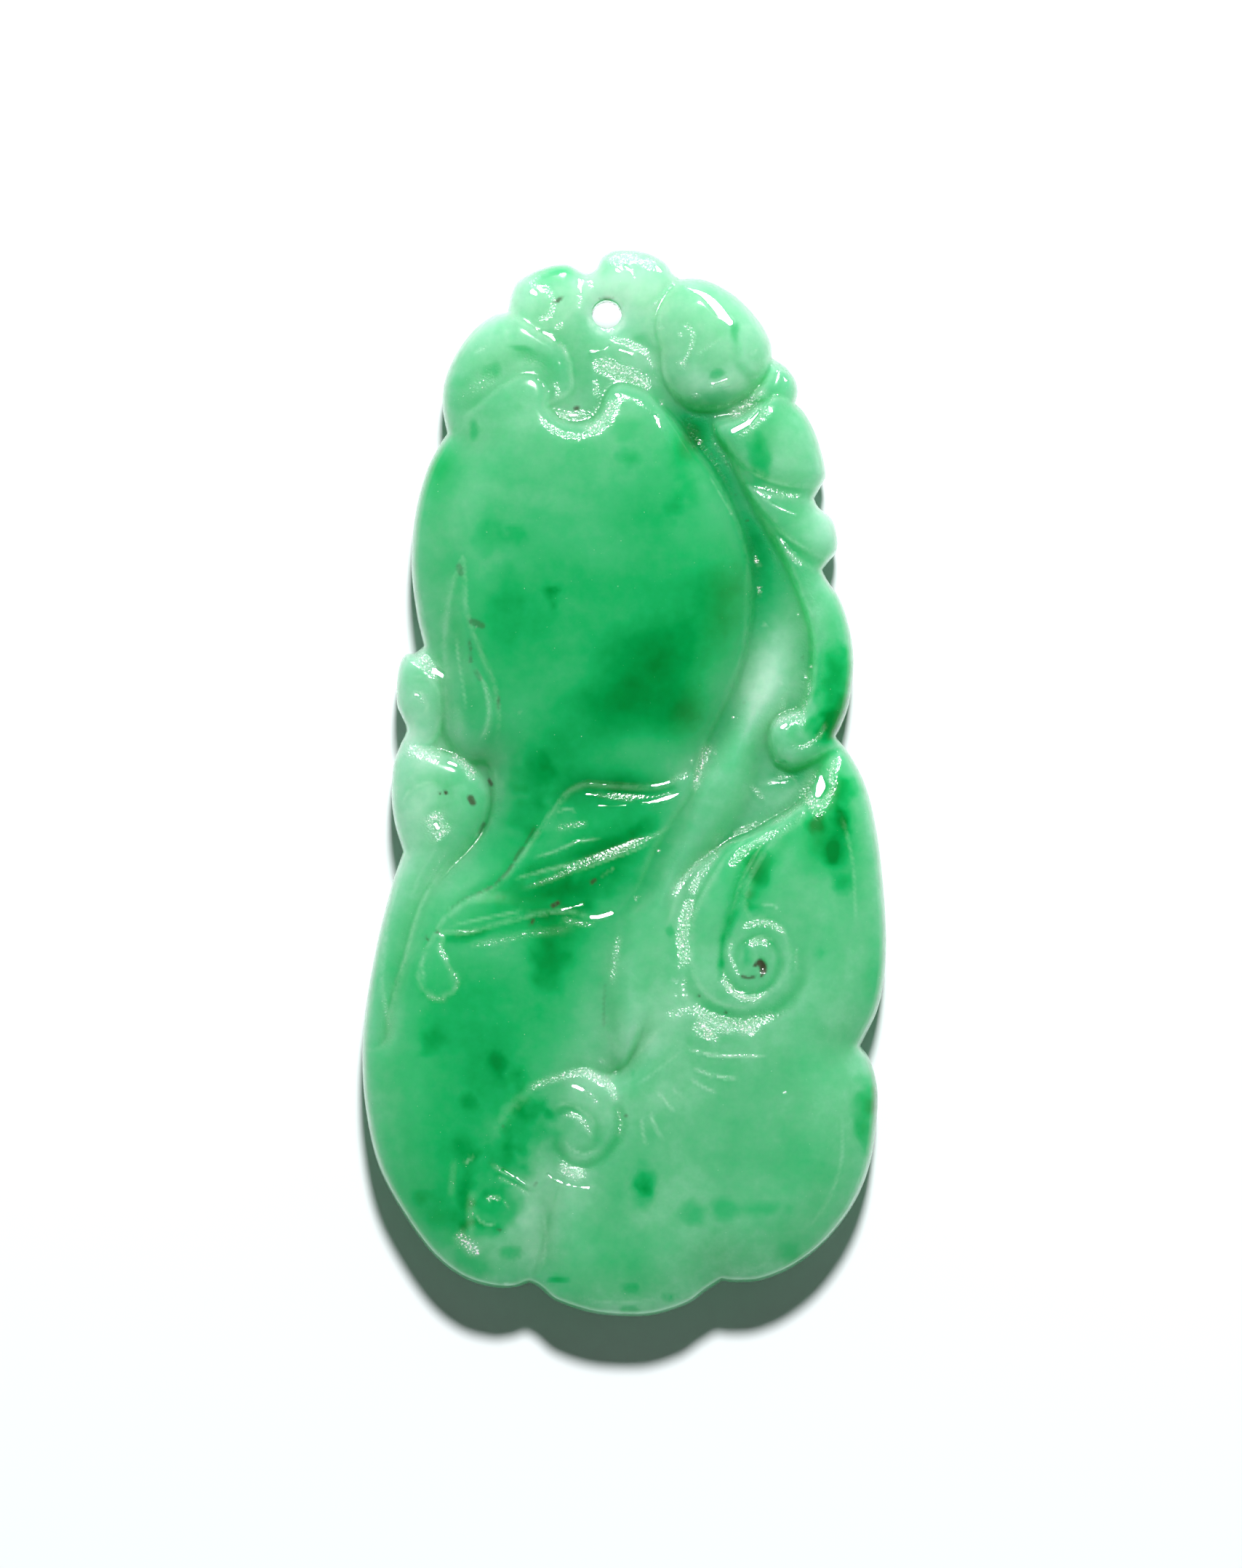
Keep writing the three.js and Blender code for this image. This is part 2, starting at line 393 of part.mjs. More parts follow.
// Delaunay triangles over scattered points, swept from left to right
function triangulate(points) {
  const count = points.length
  const all = [...points, { x: -900, y: -900 }, { x: 900, y: -900 }, { x: 0, y: 900 }]
  const circle = (a, b, c) => {
    const [p, q, r] = [all[a], all[b], all[c]]
    const bx = q.x - p.x
    const by = q.y - p.y
    const cx = r.x - p.x
    const cy = r.y - p.y
    const d = 2 * (bx * cy - by * cx)
    const x = (cy * (bx * bx + by * by) - by * (cx * cx + cy * cy)) / d
    const y = (bx * (cx * cx + cy * cy) - cx * (bx * bx + by * by)) / d
    return { corners: d > 0 ? [a, b, c] : [a, c, b], x: p.x + x, y: p.y + y, square: x * x + y * y }
  }
  const order = points.map((_, i) => i).sort((a, b) => points[a].x - points[b].x)
  let open = [circle(count, count + 1, count + 2)]
  const done = []
  for (const i of order) {
    const edges = new Map()
    open = open.filter((triangle) => {
      const dx = points[i].x - triangle.x
      const dy = points[i].y - triangle.y
      if (dx > 0 && dx * dx > triangle.square) {
        done.push(triangle)
        return false
      }
      if (dx * dx + dy * dy > triangle.square) {
        return true
      }
      const [a, b, c] = triangle.corners
      for (const [from, to] of [[a, b], [b, c], [c, a]]) {
        const key = from < to ? `${from},${to}` : `${to},${from}`
        if (!edges.delete(key)) {
          edges.set(key, [from, to])
        }
      }
      return false
    })
    for (const [from, to] of edges.values()) {
      open.push(circle(from, to, i))
    }
  }
  return [...done, ...open].map(({ corners }) => corners).filter((corners) => Math.max(...corners) < count)
}

// Triangles of a sheet whose middle lies inside the outline
function sheet(points) {
  return triangulate(points).filter((corners) => {
    const x = corners.reduce((sum, i) => sum + points[i].x, 0) / 3
    const y = corners.reduce((sum, i) => sum + points[i].y, 0) / 3
    return inside(outlineLoop, x, y)
  })
}

// Front and back share the outline points, so the two sheets close on each other
const rimCount = outline.length
const frontPoints = front.placed
const backPoints = back.placed
const positions = []
frontPoints.forEach(({ x, y }, i) => positions.push(x, y, i < rimCount ? EDGE : frontHeight(x, y)))
backPoints.slice(rimCount).forEach(({ x, y }) => positions.push(x, y, backHeight(x, y)))
const shift = frontPoints.length - rimCount
const faces = [
  ...sheet(frontPoints).flat(),
  ...sheet(backPoints).flatMap(([a, b, c]) => [a, c, b].map((i) => (i < rimCount ? i : i + shift))),
]

const wasm = await Module()
wasm.setup()

function toManifold(vertices, triangles) {
  return new wasm.Manifold(
    new wasm.Mesh({
      numProp: 3,
      vertProperties: Float32Array.from(vertices),
      triVerts: Uint32Array.from(triangles),
    }),
  )
}

// Vertices and triangles of a closed three.js solid
function weld(solid) {
  solid.deleteAttribute('normal')
  solid.deleteAttribute('uv')
  const merged = mergeVertices(solid, 1e-4)
  return [merged.attributes.position.array, merged.index.array]
}

const drill = new THREE.CylinderGeometry(HOLE_RADIUS, HOLE_RADIUS, 2 * THICKNESS, 28)
drill.rotateX(Math.PI / 2)
drill.translate(HOLE_X, HOLE_Y, THICKNESS / 2)
const carved = toManifold(positions, faces).subtract(toManifold(...weld(drill)))

// The finished stone, with the middle of its back at the origin
const { vertProperties, triVerts } = carved.getMesh()
const geometry = new THREE.BufferGeometry()
geometry.setAttribute('position', new THREE.BufferAttribute(vertProperties, 3))
geometry.setIndex(new THREE.BufferAttribute(triVerts, 1))
geometry.computeBoundingBox()
const { min, max } = geometry.boundingBox
geometry.translate(-(min.x + max.x) / 2, -(min.y + max.y) / 2, -min.z)
geometry.computeVertexNormals()

const jade = new THREE.MeshStandardMaterial({ color: 0x5fbf86, roughness: 0.25, metalness: 0 })
const pendant = new THREE.Mesh(geometry, jade)
pendant.name = 'jade_pendant'

const group = new THREE.Group()
group.add(pendant)
export default group
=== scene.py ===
"""A carved jadeite pendant: a double gourd with leaves, tendrils and a lingzhi fungus, on its flat back.

Run it as a script. The stone is carved as a height field over its outline, in millimetres, and then meshed.
"""
import math

import bpy
import numpy as np
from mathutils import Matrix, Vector
from mathutils.geometry import delaunay_2d_cdt


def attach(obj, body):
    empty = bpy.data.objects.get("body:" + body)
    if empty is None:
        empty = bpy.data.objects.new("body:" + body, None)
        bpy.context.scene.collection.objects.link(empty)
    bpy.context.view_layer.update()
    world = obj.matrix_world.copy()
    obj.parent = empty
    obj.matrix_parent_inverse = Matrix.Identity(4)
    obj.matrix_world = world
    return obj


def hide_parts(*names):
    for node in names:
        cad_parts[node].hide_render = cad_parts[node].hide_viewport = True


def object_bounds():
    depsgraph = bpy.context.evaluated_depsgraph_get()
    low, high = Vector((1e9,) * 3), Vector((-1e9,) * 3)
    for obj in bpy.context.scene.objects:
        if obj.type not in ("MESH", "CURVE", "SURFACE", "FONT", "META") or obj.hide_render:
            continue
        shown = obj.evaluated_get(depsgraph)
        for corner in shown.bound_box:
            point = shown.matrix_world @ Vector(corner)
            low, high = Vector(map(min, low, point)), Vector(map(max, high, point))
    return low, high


bl_info = {
    "name": "Jade gourd pendant",
    "version": (1, 0, 0),
    "blender": (4, 5, 0),
    "location": "View3D > Sidebar > Pendant",
    "description": "Carves a jade pendant as a height field and sets it on a pale table",
    "category": "Add Mesh",
}

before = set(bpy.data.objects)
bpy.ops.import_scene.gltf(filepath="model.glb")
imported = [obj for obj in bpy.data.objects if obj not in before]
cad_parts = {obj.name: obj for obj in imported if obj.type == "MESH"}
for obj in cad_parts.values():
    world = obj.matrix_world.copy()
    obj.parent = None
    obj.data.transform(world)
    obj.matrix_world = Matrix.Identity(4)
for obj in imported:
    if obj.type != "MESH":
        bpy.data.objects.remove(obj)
CAD_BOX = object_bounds()
MM = 0.001

# The main lamp and the camera over the stone, in millimetres
LAMP_HEIGHT, LAMP_TURN, LAMP_REACH = math.radians(56), math.radians(5), 600
LAMP_PLACE = tuple(LAMP_REACH * n for n in (
    math.cos(LAMP_HEIGHT) * math.sin(LAMP_TURN),
    math.cos(LAMP_HEIGHT) * math.cos(LAMP_TURN),
    math.sin(LAMP_HEIGHT),
))
CAMERA_PLACE = (-0.153, -0.034, 500)

# The height of the view, the level of the stone's edge at which it is measured, and the sensor's side
VIEW_HEIGHT = 73.57 * MM
CAMERA_LEVEL = 2 * MM
SENSOR = 36

# Middle of the drilled hole, in millimetres
HOLE_PLACE = (-0.8, 21.95)

# The mesh, in millimetres: depths of its rings inside the outline, spacing along the outline and on the
# polished flats, and the half width and half length that its points fill. Then the hole's sides.
RIM_DEPTHS = (0.012, 0.05, 0.11, 0.19, 0.29, 0.41)
OUTLINE_STEP = 0.1
FLAT_STEP = 0.04
HALF_WIDTH, HALF_LENGTH = 12.5, 25.2
HOLE_SIDES = 64
INSIDE = 0.9999  # keeps the outline within the box of the solid

# Silhouette, clockwise from the middle scroll, one curve for each form that it passes
SILHOUETTE = {
    "middle scroll": ((-1.67, 23.92), (-1.3, 24.15), (-1.05, 24.65), (-0.5, 24.97), (0.2, 25), (1.1, 24.87),
                      (1.9, 24.45), (2.3, 23.92), (2.6, 23.67)),
    "bud": ((2.6, 23.67), (3.5, 23.68), (4.5, 23.32), (5.5, 22.62), (6.4, 21.6), (6.87, 20.7), (6.95, 19.95)),
    "leaf tip": ((6.95, 19.95), (7.55, 19.57), (8, 19), (8.16, 18.4), (8.03, 17.83)),
    "first leaf lobe": ((8.03, 17.83), (8.45, 17.4), (8.95, 16.5), (9.3, 15.4), (9.47, 14.5), (9.3, 14.05),
                        (8.93, 13.35)),
    "second leaf lobe": ((8.93, 13.35), (9.15, 12.93), (9.75, 12.4), (10, 11.6), (9.97, 10.9), (9.6, 10.38),
                         (9.32, 10)),
    "third leaf lobe": ((9.32, 10), (9.6, 9.45), (10.1, 8.7), (10.5, 7.6), (10.73, 6.4), (10.76, 5.2),
                        (10.55, 3.7), (10.2, 2.7), (9.95, 2.2)),
    "fungus shoulder": ((9.95, 2.2), (10.75, 1.1), (11.4, -0.3), (11.85, -2.2), (12.15, -4.6), (12.3, -7),
                        (12.22, -9), (11.9, -10.6), (11.3, -11.9), (11.1, -12.3)),
    "fungus right": ((11.1, -12.3), (11.55, -13), (11.87, -14.2), (11.87, -15.6), (11.55, -17.8),
                     (10.8, -19.7), (9.5, -21.45), (8, -22.65), (6.5, -23.3), (5.3, -23.42), (4.6, -23.35)),
    "fungus bottom": ((4.6, -23.35), (3.9, -23.8), (3, -24.42), (1.5, -24.92), (0, -25), (-1.6, -24.83),
                      (-3.2, -24.28), (-4, -23.65), (-4.42, -23.42)),
    "lower gourd": ((-4.42, -23.42), (-5, -23.62), (-6, -23.66), (-7.5, -23.22), (-9, -22.05),
                    (-10.5, -19.95), (-11.6, -17.7), (-12.15, -15), (-12.27, -12.5), (-12.08, -10.3),
                    (-11.6, -7.6), (-10.95, -5), (-10.38, -3.2)),
    "side scrolls": ((-10.38, -3.2), (-10.75, -1.9), (-10.9, -0.6), (-10.82, 0.8), (-10.5, 1.8),
                     (-10.22, 2.5), (-10.42, 3.1), (-10.66, 3.8), (-10.6, 5.2), (-10.3, 6), (-9.8, 6.13),
                     (-9.4, 6.45)),
    "upper gourd": ((-9.4, 6.45), (-9.72, 7.9), (-9.95, 9.8), (-9.93, 11.4), (-9.7, 13.1), (-9.2, 14.8),
                    (-8.6, 15.95), (-8.3, 16.4)),
    "curled leaf": ((-8.3, 16.4), (-8.5, 17.6), (-8.42, 18.8), (-7.9, 20.1), (-7, 21.3), (-6.1, 21.95),
                    (-5.45, 22.1)),
    "left scroll": ((-5.45, 22.1), (-5.33, 22.8), (-5, 23.5), (-4.2, 24), (-3.3, 24.3), (-2.6, 24.32),
                    (-2.05, 24.02), (-1.67, 23.92)),
}


# Curves

def curve(points, step, closed=False):
    """A smooth curve through the points, sampled about every step, as rows of x and y."""
    given = np.array(points, float)
    if closed:
        padded = np.vstack([given[-1:], given, given[:2]])
    else:
        padded = np.vstack([2 * given[0] - given[1], given, 2 * given[-1] - given[-2]])
    rows = []
    for before, start, end, after in zip(padded, padded[1:], padded[2:], padded[3:]):
        count = max(1, int(round(math.dist(start, end) / step)))
        t = np.arange(count)[:, None] / count
        rows.append(
            0.5 * (2 * start + (end - before) * t + (2 * before - 5 * start + 4 * end - after) * t ** 2
                   + (3 * start - before - 3 * end + after) * t ** 3)
        )
    return np.vstack(rows + ([] if closed else [given[-1:]]))


def silhouette(step):
    """The whole outline as one loop, without its closing point."""
    return np.vstack([curve(points, step)[:-1] for points in SILHOUETTE.values()])


def circle(cx, cy, radius, count=10):
    """Points round a centre."""
    turns = np.arange(count) * 2 * math.pi / count
    return [(cx + radius * math.cos(a), cy + radius * math.sin(a)) for a in turns]


def coil(cx, cy, *turns):
    """Points round a centre from pairs of an angle in degrees and the radius there."""
    return [(cx + r * math.cos(math.radians(a)), cy + r * math.sin(math.radians(a))) for a, r in turns]


# Profiles, each from 0 to 1

def swell(u):
    """Quarter-round rise."""
    return np.sqrt(1 - (1 - np.clip(u, 0, 1)) ** 2)


def ease(u):
    """Soft step."""
    u = np.clip(u, 0, 1)
    return u * u * (3 - 2 * u)


def mirroring_slope(x, y):
    """The slope along x and along y at which the stone there mirrors the main lamp into the camera."""
    here = np.array((x, y, 5.0))
    lamp, camera = np.array(LAMP_PLACE) - here, np.array(CAMERA_PLACE) - here
    half = lamp / np.linalg.norm(lamp) + camera / np.linalg.norm(camera)
    return -half[:2] / half[2]


class Stone:
    """The stone's front as grids over x and y: its height, and where it is green (with painted shade in its
    cuts), matt, pale with painted light, frosted with painted white sparkle, or darkly marked.
    """

    CELL = 0.05
    FINEST_FLAT = 0.032
    LEFT, BOTTOM, RIGHT, TOP = -12.6, -25.3, 12.6, 25.3

    def __init__(self, ground):
        self.xs = np.arange(self.LEFT, self.RIGHT + 0.5 * self.CELL, self.CELL)
        self.ys = np.arange(self.BOTTOM, self.TOP + 0.5 * self.CELL, self.CELL)
        self.x, self.y = np.meshgrid(self.xs, self.ys)
        top = ease((self.y - 15.2) / 1.6) * ease((3 - self.x) / 2)
        self.height = ground + top * (1.4 - 0.06 * np.clip(self.y - 18, 0, 9))
        self.green, self.matt, self.frost_and_sparkle, self.pale, self.dark_marks = np.zeros((5, *self.x.shape))
        self.deep, self.fine, self.inward, self.faceted = np.zeros((4, *self.x.shape))
        self.ragged = self.grain(0.16, 3)
        self.wavy = self.grain(0.5, 4)
        self.facets = []

    def grain(self, size, seed):
        """Random ups and downs of about a size, mostly between -1 and 1."""
        grid = self.soften(np.random.default_rng(seed).standard_normal(self.x.shape), size)
        return grid / (2 * grid.std())

    def window(self, low, high, axis):
        """The grid's rows or columns that lie between two places."""
        first = max(0, int((low - axis[0]) / self.CELL))
        last = min(len(axis), int((high - axis[0]) / self.CELL) + 2)
        return slice(first, max(first, last))

    def distance(self, line, reach):
        """Each cell's distance to a line, cut off at reach, and its place along the line from 0 to 1."""
        far = np.full(self.x.shape, float(reach))
        along = np.zeros(self.x.shape)
        steps = np.hypot(*np.diff(line, axis=0).T)
        run = np.concatenate([[0], np.cumsum(steps)]) / max(steps.sum(), 1e-9)
        for i, (a, b) in enumerate(zip(line, line[1:])):
            rows = self.window(min(a[1], b[1]) - reach, max(a[1], b[1]) + reach, self.ys)
            columns = self.window(min(a[0], b[0]) - reach, max(a[0], b[0]) + reach, self.xs)
            if rows.start >= rows.stop or columns.start >= columns.stop:
                continue
            x = self.x[rows, columns] - a[0]
            y = self.y[rows, columns] - a[1]
            edge = b - a
            part = np.clip((x * edge[0] + y * edge[1]) / max(edge @ edge, 1e-12), 0, 1)
            gap = np.hypot(x - part * edge[0], y - part * edge[1])
            nearer = gap < far[rows, columns]
            far[rows, columns] = np.where(nearer, gap, far[rows, columns])
            here = run[i] + (run[i + 1] - run[i]) * part
            along[rows, columns] = np.where(nearer, here, along[rows, columns])
        return far, along

    def inside(self, loop):
        """Which cells lie inside a closed line."""
        odd = np.zeros(self.x.shape, bool)
        for a, b in zip(loop, np.roll(loop, -1, axis=0)):
            low, high = (a, b) if a[1] < b[1] else (b, a)
            rows = slice(*np.searchsorted(self.ys, (low[1], high[1])))
            if rows.start < rows.stop:
                crossing = low[0] + (self.ys[rows] - low[1]) * (high[0] - low[0]) / (high[1] - low[1])
                odd[rows] ^= self.xs[None, :] < crossing[:, None]
        return odd

    def ellipse(self, cx, cy, rx, ry, turn):
        """Places along an ellipse's two axes, each 1 where the axis meets its edge."""
        c, s = math.cos(math.radians(turn)), math.sin(math.radians(turn))
        u = ((self.x - cx) * c + (self.y - cy) * s) / rx
        v = ((self.y - cy) * c - (self.x - cx) * s) / ry
        return u, v

    def dome(self, cx, cy, rx, ry):
        """A low dome over an ellipse, 1 at its middle."""
        u, v = self.ellipse(cx, cy, rx, ry, 0)
        return np.clip(1 - u * u - v * v, 0, 1)

    def tint(self, amount, cx, cy, rx, ry, turn=0):
        """More or less green in a soft ellipse."""
        u, v = self.ellipse(cx, cy, rx, ry, turn)
        self.green += amount * np.exp(-(u * u + v * v))

    def patch(self, amount, cx, cy, rx, ry, turn=0):
        """More or less green in an ellipse with a ragged edge."""
        u, v = self.ellipse(cx, cy, rx, ry, turn)
        far = np.hypot(u, v) - 0.4 * self.ragged - 0.45 * self.wavy
        self.green += amount * ease((1.7 - far) / 1.3)

    def speck(self, points, width, amount):
        """A dark mark along a line."""
        far, _ = self.distance(curve(points, 0.05), 2 * width)
        mark = ease((1.2 * width - far) / (0.5 * width) + 0.5 * self.ragged)
        self.dark_marks = np.maximum(self.dark_marks, amount * mark)

    def painted_glint(self, x, y, size):
        """A single painted glint: a white speck in the colour, with a frosted grain."""
        far = np.hypot(self.x - x, self.y - y)
        self.frost_and_sparkle = np.maximum(self.frost_and_sparkle, 1.5 * ease(1.5 - far / size))

    def facet(self, points, width):
        """A small flat to be polished along a line, tilted so that it mirrors the main lamp."""
        self.facets.append((points, width))

    def cut_facets(self):
        """Cuts the flats into the height, which is by then the final one."""
        for points, width in self.facets:
            line = curve(points, 0.1)
            widths = np.maximum(np.atleast_1d(np.asarray(width, float)), self.FINEST_FLAT)
            far, along = self.distance(line, 2 * widths.max())
            width = np.interp(along, np.linspace(0, 1, len(widths)), widths)
            share = ease((2 * width - far) / width)
            self.faceted = np.maximum(self.faceted, share)
            middle = line.mean(axis=0)
            slope = mirroring_slope(*middle)
            level = np.mean(self.at(self.height, line) - (line - middle) @ slope)
            flat = level + (self.x - middle[0]) * slope[0] + (self.y - middle[1]) * slope[1]
            self.height += (flat - self.height) * share
            self.matt *= 1 - share
            self.frost_and_sparkle *= 1 - share

    def form(self, points, crown, roll, moat=(0, 0), edge=0.3, rise=swell):
        """A form with a rounded edge that stands in front of what is there.

        The moat, cut round it, is a width and a depth, and is painted deeper green as shade. Edge is how
        strongly a pale line, painted light, is drawn just inside its outline.
        """
        loop = curve(points, 0.15, closed=True)
        width, depth = moat
        far, _ = self.distance(np.vstack([loop, loop[:1]]), max(np.max(roll), 2.5 * width, 0.6))
        within = self.inside(loop)
        if width:
            sunk = np.exp(-(far / width) ** 2)
            self.height -= depth * sunk
            # Painted shade: the moat is painted deeper green
            self.deep = np.maximum(self.deep, np.minimum(1, 2.2 * depth) * sunk)
        lift = np.where(within, rise(far / roll), 0)
        self.height += (crown - self.height) * lift
        for grid in (self.matt, self.frost_and_sparkle, self.pale, self.deep, self.fine):
            grid *= 1 - lift
        # Painted light: a pale line just inside the form's edge
        self.pale = np.maximum(self.pale, np.where(within, edge * np.exp(-((far - 0.12) / 0.13) ** 2), 0))

    def band(self, points, width, fade):
        """How much each cell belongs to a band along a line. The width may be a list along it."""
        widths = np.atleast_1d(np.asarray(width, float))
        far, along = self.distance(curve(points, 0.1), widths.max())
        across = 1 - far / np.interp(along, np.linspace(0, 1, len(widths)), widths)
        return ease(across) * ease(np.minimum(along, 1 - along) / max(fade, 1e-6))

    def ridge(self, points, width, height, fade=0.15):
        """A raised band that fades at both ends."""
        self.height += height * self.band(points, width, fade)

    def groove(self, points, width, depth, fade=0.15, matt=0.3):
        """A cut channel that fades at both ends, with painted shade, a deeper green, at its bottom."""
        shape = self.band(points, width, fade)
        self.height -= depth * shape
        self.deep = np.maximum(self.deep, min(1, 2.2 * depth) * shape)
        self.matt = np.maximum(self.matt, matt * shape)

    def crest(self, points, width, height, pale=0.45):
        """A thin ridge with a painted highlight, a pale line, along its crest."""
        shape = self.band(points, width, 0.2)
        self.fine += height * shape
        self.pale = np.maximum(self.pale, pale * shape)

    def painted_highlight_line(self, points, width, pale=0.45):
        """A fine pale line with hardly any depth, a painted highlight where an edge catches the light."""
        shape = self.band(points, width, 0.25)
        self.fine += 0.02 * shape
        self.pale = np.maximum(self.pale, pale * shape)

    def sparkling_frost(self, points, width, amount):
        """A band left unpolished, rougher and grainy, with painted white sparkle in its colour."""
        shape = amount * self.band(points, width * 1.5, 0.2)
        self.matt = np.maximum(self.matt, shape)
        self.frost_and_sparkle = np.maximum(self.frost_and_sparkle, shape)

    def knob(self, cx, cy, radius, height):
        """A low round boss with a soft ring cut round it, the ring painted deeper green as shade."""
        far = np.hypot(self.x - cx, self.y - cy) / radius
        ring = np.exp(-((far - 1.1) / 0.22) ** 2)
        self.height += height * (np.clip(1 - far * far, 0, 1) ** 0.7 - 0.6 * ring)
        self.deep = np.maximum(self.deep, 1.6 * height * ring)

    def soften(self, grid, size):
        """The grid smoothed over a distance."""
        reach = max(1, math.ceil(3 * size / self.CELL))
        weights = np.exp(-0.5 * (np.arange(-reach, reach + 1) * self.CELL / size) ** 2)
        weights /= weights.sum()
        for axis in (0, 1):
            margin = [(0, 0), (0, 0)]
            margin[axis] = (reach, reach)
            wide = np.pad(grid, margin, mode="edge")
            length = grid.shape[axis]
            grid = sum(w * np.take(wide, range(i, i + length), axis=axis) for i, w in enumerate(weights))
        return grid

    def at(self, grid, points):
        """The grid's values at points, read between its cells."""
        u = np.clip((points[:, 0] - self.LEFT) / self.CELL, 0, len(self.xs) - 1.001)
        v = np.clip((points[:, 1] - self.BOTTOM) / self.CELL, 0, len(self.ys) - 1.001)
        i, j = u.astype(int), v.astype(int)
        u, v = u - i, v - j
        return (grid[j, i] * (1 - u) * (1 - v) + grid[j, i + 1] * u * (1 - v)
                + grid[j + 1, i] * (1 - u) * v + grid[j + 1, i + 1] * u * v)


# The carving, from the parts that lie behind to those in front

def carve_curled_leaf(stone):
    """Upper left: a hollow with a rolled rim over it."""
    stone.form(((-8.6, 15.8), (-10.5, 18), (-9, 21.5), (-6.5, 23), (-5.2, 22.2), (-4.2, 21.25), (-3.3, 20.75),
                (-2.6, 20.1), (-2.35, 19.2), (-2.5, 18.2), (-4, 17.4), (-6.5, 16.5)), 4.75, 0.7)
    stone.groove(((-8.0, 17.2), (-7.4, 18.2), (-6.5, 19.0), (-5.6, 19.6), (-4.8, 19.9)), (1.3, 0.9), 0.11,
                 0.25, matt=0.4)
    stone.groove(((-5.4, 19.9), (-4.5, 19.95), (-3.7, 19.6), (-3.3, 18.8), (-3.2, 17.9)),
                 0.6, 0.04, 0.3, matt=0.4)
    # Painted shade: deeper green in the hollow
    stone.tint(0.14, -4.4, 19.9, 1.1, 0.4, -10)
    stone.ridge(((-7.9, 17.6), (-7.6, 18.6), (-7.1, 19.5), (-6.3, 20.3), (-5.3, 20.8), (-4.3, 20.7),
                 (-3.5, 20.2), (-3.05, 19.4), (-2.85, 18.6), (-2.85, 17.8)), 0.6, 0.06)
    stone.sparkling_frost(((-8.1, 17.8), (-7.2, 18.3), (-6.4, 18.8), (-5.8, 19.1)), 0.45, 0.45)
    stone.painted_highlight_line(((-7.1, 20.0), (-6.6, 20.3), (-6.1, 20.55)), 0.1)
    stone.sparkling_frost(((-7.0, 20.05), (-6.4, 20.4)), 0.08, 0.6)


def carve_top_scrolls(stone):
    """Left and middle scroll, either side of the drilled hole."""
    stone.form(((-5.45, 22.1), (-6.4, 22.9), (-5.8, 24.4), (-4.3, 25.2), (-2.5, 25.3), (-1.7, 24.2),
                (-1.6, 23.4), (-1.75, 22.6), (-2.3, 22.0), (-3, 21.45), (-3.9, 21.15), (-4.8, 21.4)),
               4.3, 0.9)
    stone.groove(((-4.9, 23.35), (-4.0, 23.3), (-3.45, 23.0), (-3.25, 22.5), (-3.4, 21.95), (-3.8, 21.7),
                  (-4.3, 21.65)), 0.35, 0.07, 0.2, matt=0.3)
    stone.knob(-4.3, 22.75, 0.85, 0.03)
    stone.facet(((-4.3, 22.95), (-4.15, 22.9)), 0.1)
    stone.facet(((-2.12, 23.7), (-2.06, 23.3), (-2.0, 22.9)), (0.07, 0.08, 0.04))
    stone.sparkling_frost(((-2.05, 22.9), (-2.05, 22.5), (-2.15, 22.1)), 0.1, 0.7)
    stone.form(((-1.67, 23.92), (-2.2, 25.6), (0.5, 26.4), (3.2, 25.4), (2.75, 24.1), (2.45, 23.55), (2, 23),
                (1.4, 22.6), (0.5, 22.5), (-0.4, 22.9), (-1.25, 23.2)), 4.3, 1.0, edge=0.15)
    stone.knob(-0.35, 23.6, 0.6, 0.05)
    stone.facet(((-0.35, 23.98), (-0.25, 23.93)), 0.07)
    stone.groove(((-1.0, 23.9), (-0.8, 24.4), (-0.3, 24.6), (0.3, 24.4), (0.6, 23.9), (0.5, 23.3)),
                 0.3, 0.04, matt=0)
    stone.facet(((0.05, 24.15), (0.3, 23.98), (0.42, 23.75)), 0.05)
    stone.sparkling_frost(((-0.5, 24.3), (0.0, 24.2), (0.3, 24.0), (0.45, 23.75), (0.45, 23.4)), 0.09, 0.7)
    stone.sparkling_frost(((-0.85, 24.2), (-0.5, 24.5), (0.0, 24.65), (0.5, 24.65), (1.0, 24.5)), 0.3, 0.9)
    stone.facet(((-1.58, 23.6), (-1.5, 23.4)), 0.06)
    stone.sparkling_frost(((-1.6, 23.7), (-1.5, 23.1)), 0.08, 0.6)
    stone.facet(((1.5, 24.15), (1.62, 24.07), (1.72, 23.98)), (0.06, 0.12, 0.12))
    stone.sparkling_frost(((0.9, 24.5), (1.25, 24.35), (1.6, 24.15)), 0.3, 0.9)
    stone.sparkling_frost(((2.5, 23.65), (2.1, 23.2), (1.8, 22.8), (1.2, 22.2)), 0.12, 0.75)
    stone.sparkling_frost(((-4.7, 23.35), (-4.3, 23.5), (-3.9, 23.75), (-3.4, 23.95)), 0.08, 0.6)
    stone.sparkling_frost(((-3.9, 23.3), (-3.5, 23.05), (-3.3, 22.5), (-3.4, 22.0), (-3.8, 21.75), (-4.2, 21.7)),
                0.14, 0.8)
    stone.facet(((-3.75, 21.05), (-3.45, 20.9), (-3.25, 20.7)), 0.08)
    stone.sparkling_frost(((-4.2, 21.2), (-3.9, 21.1)), 0.08, 0.7)
    stone.sparkling_frost(((-3.1, 20.6), (-2.8, 20.3), (-2.6, 19.9)), 0.09, 0.7)
    stone.sparkling_frost(((-3.3, 21.2), (-3.1, 21.3), (-2.8, 21.5)), 0.12, 0.8)


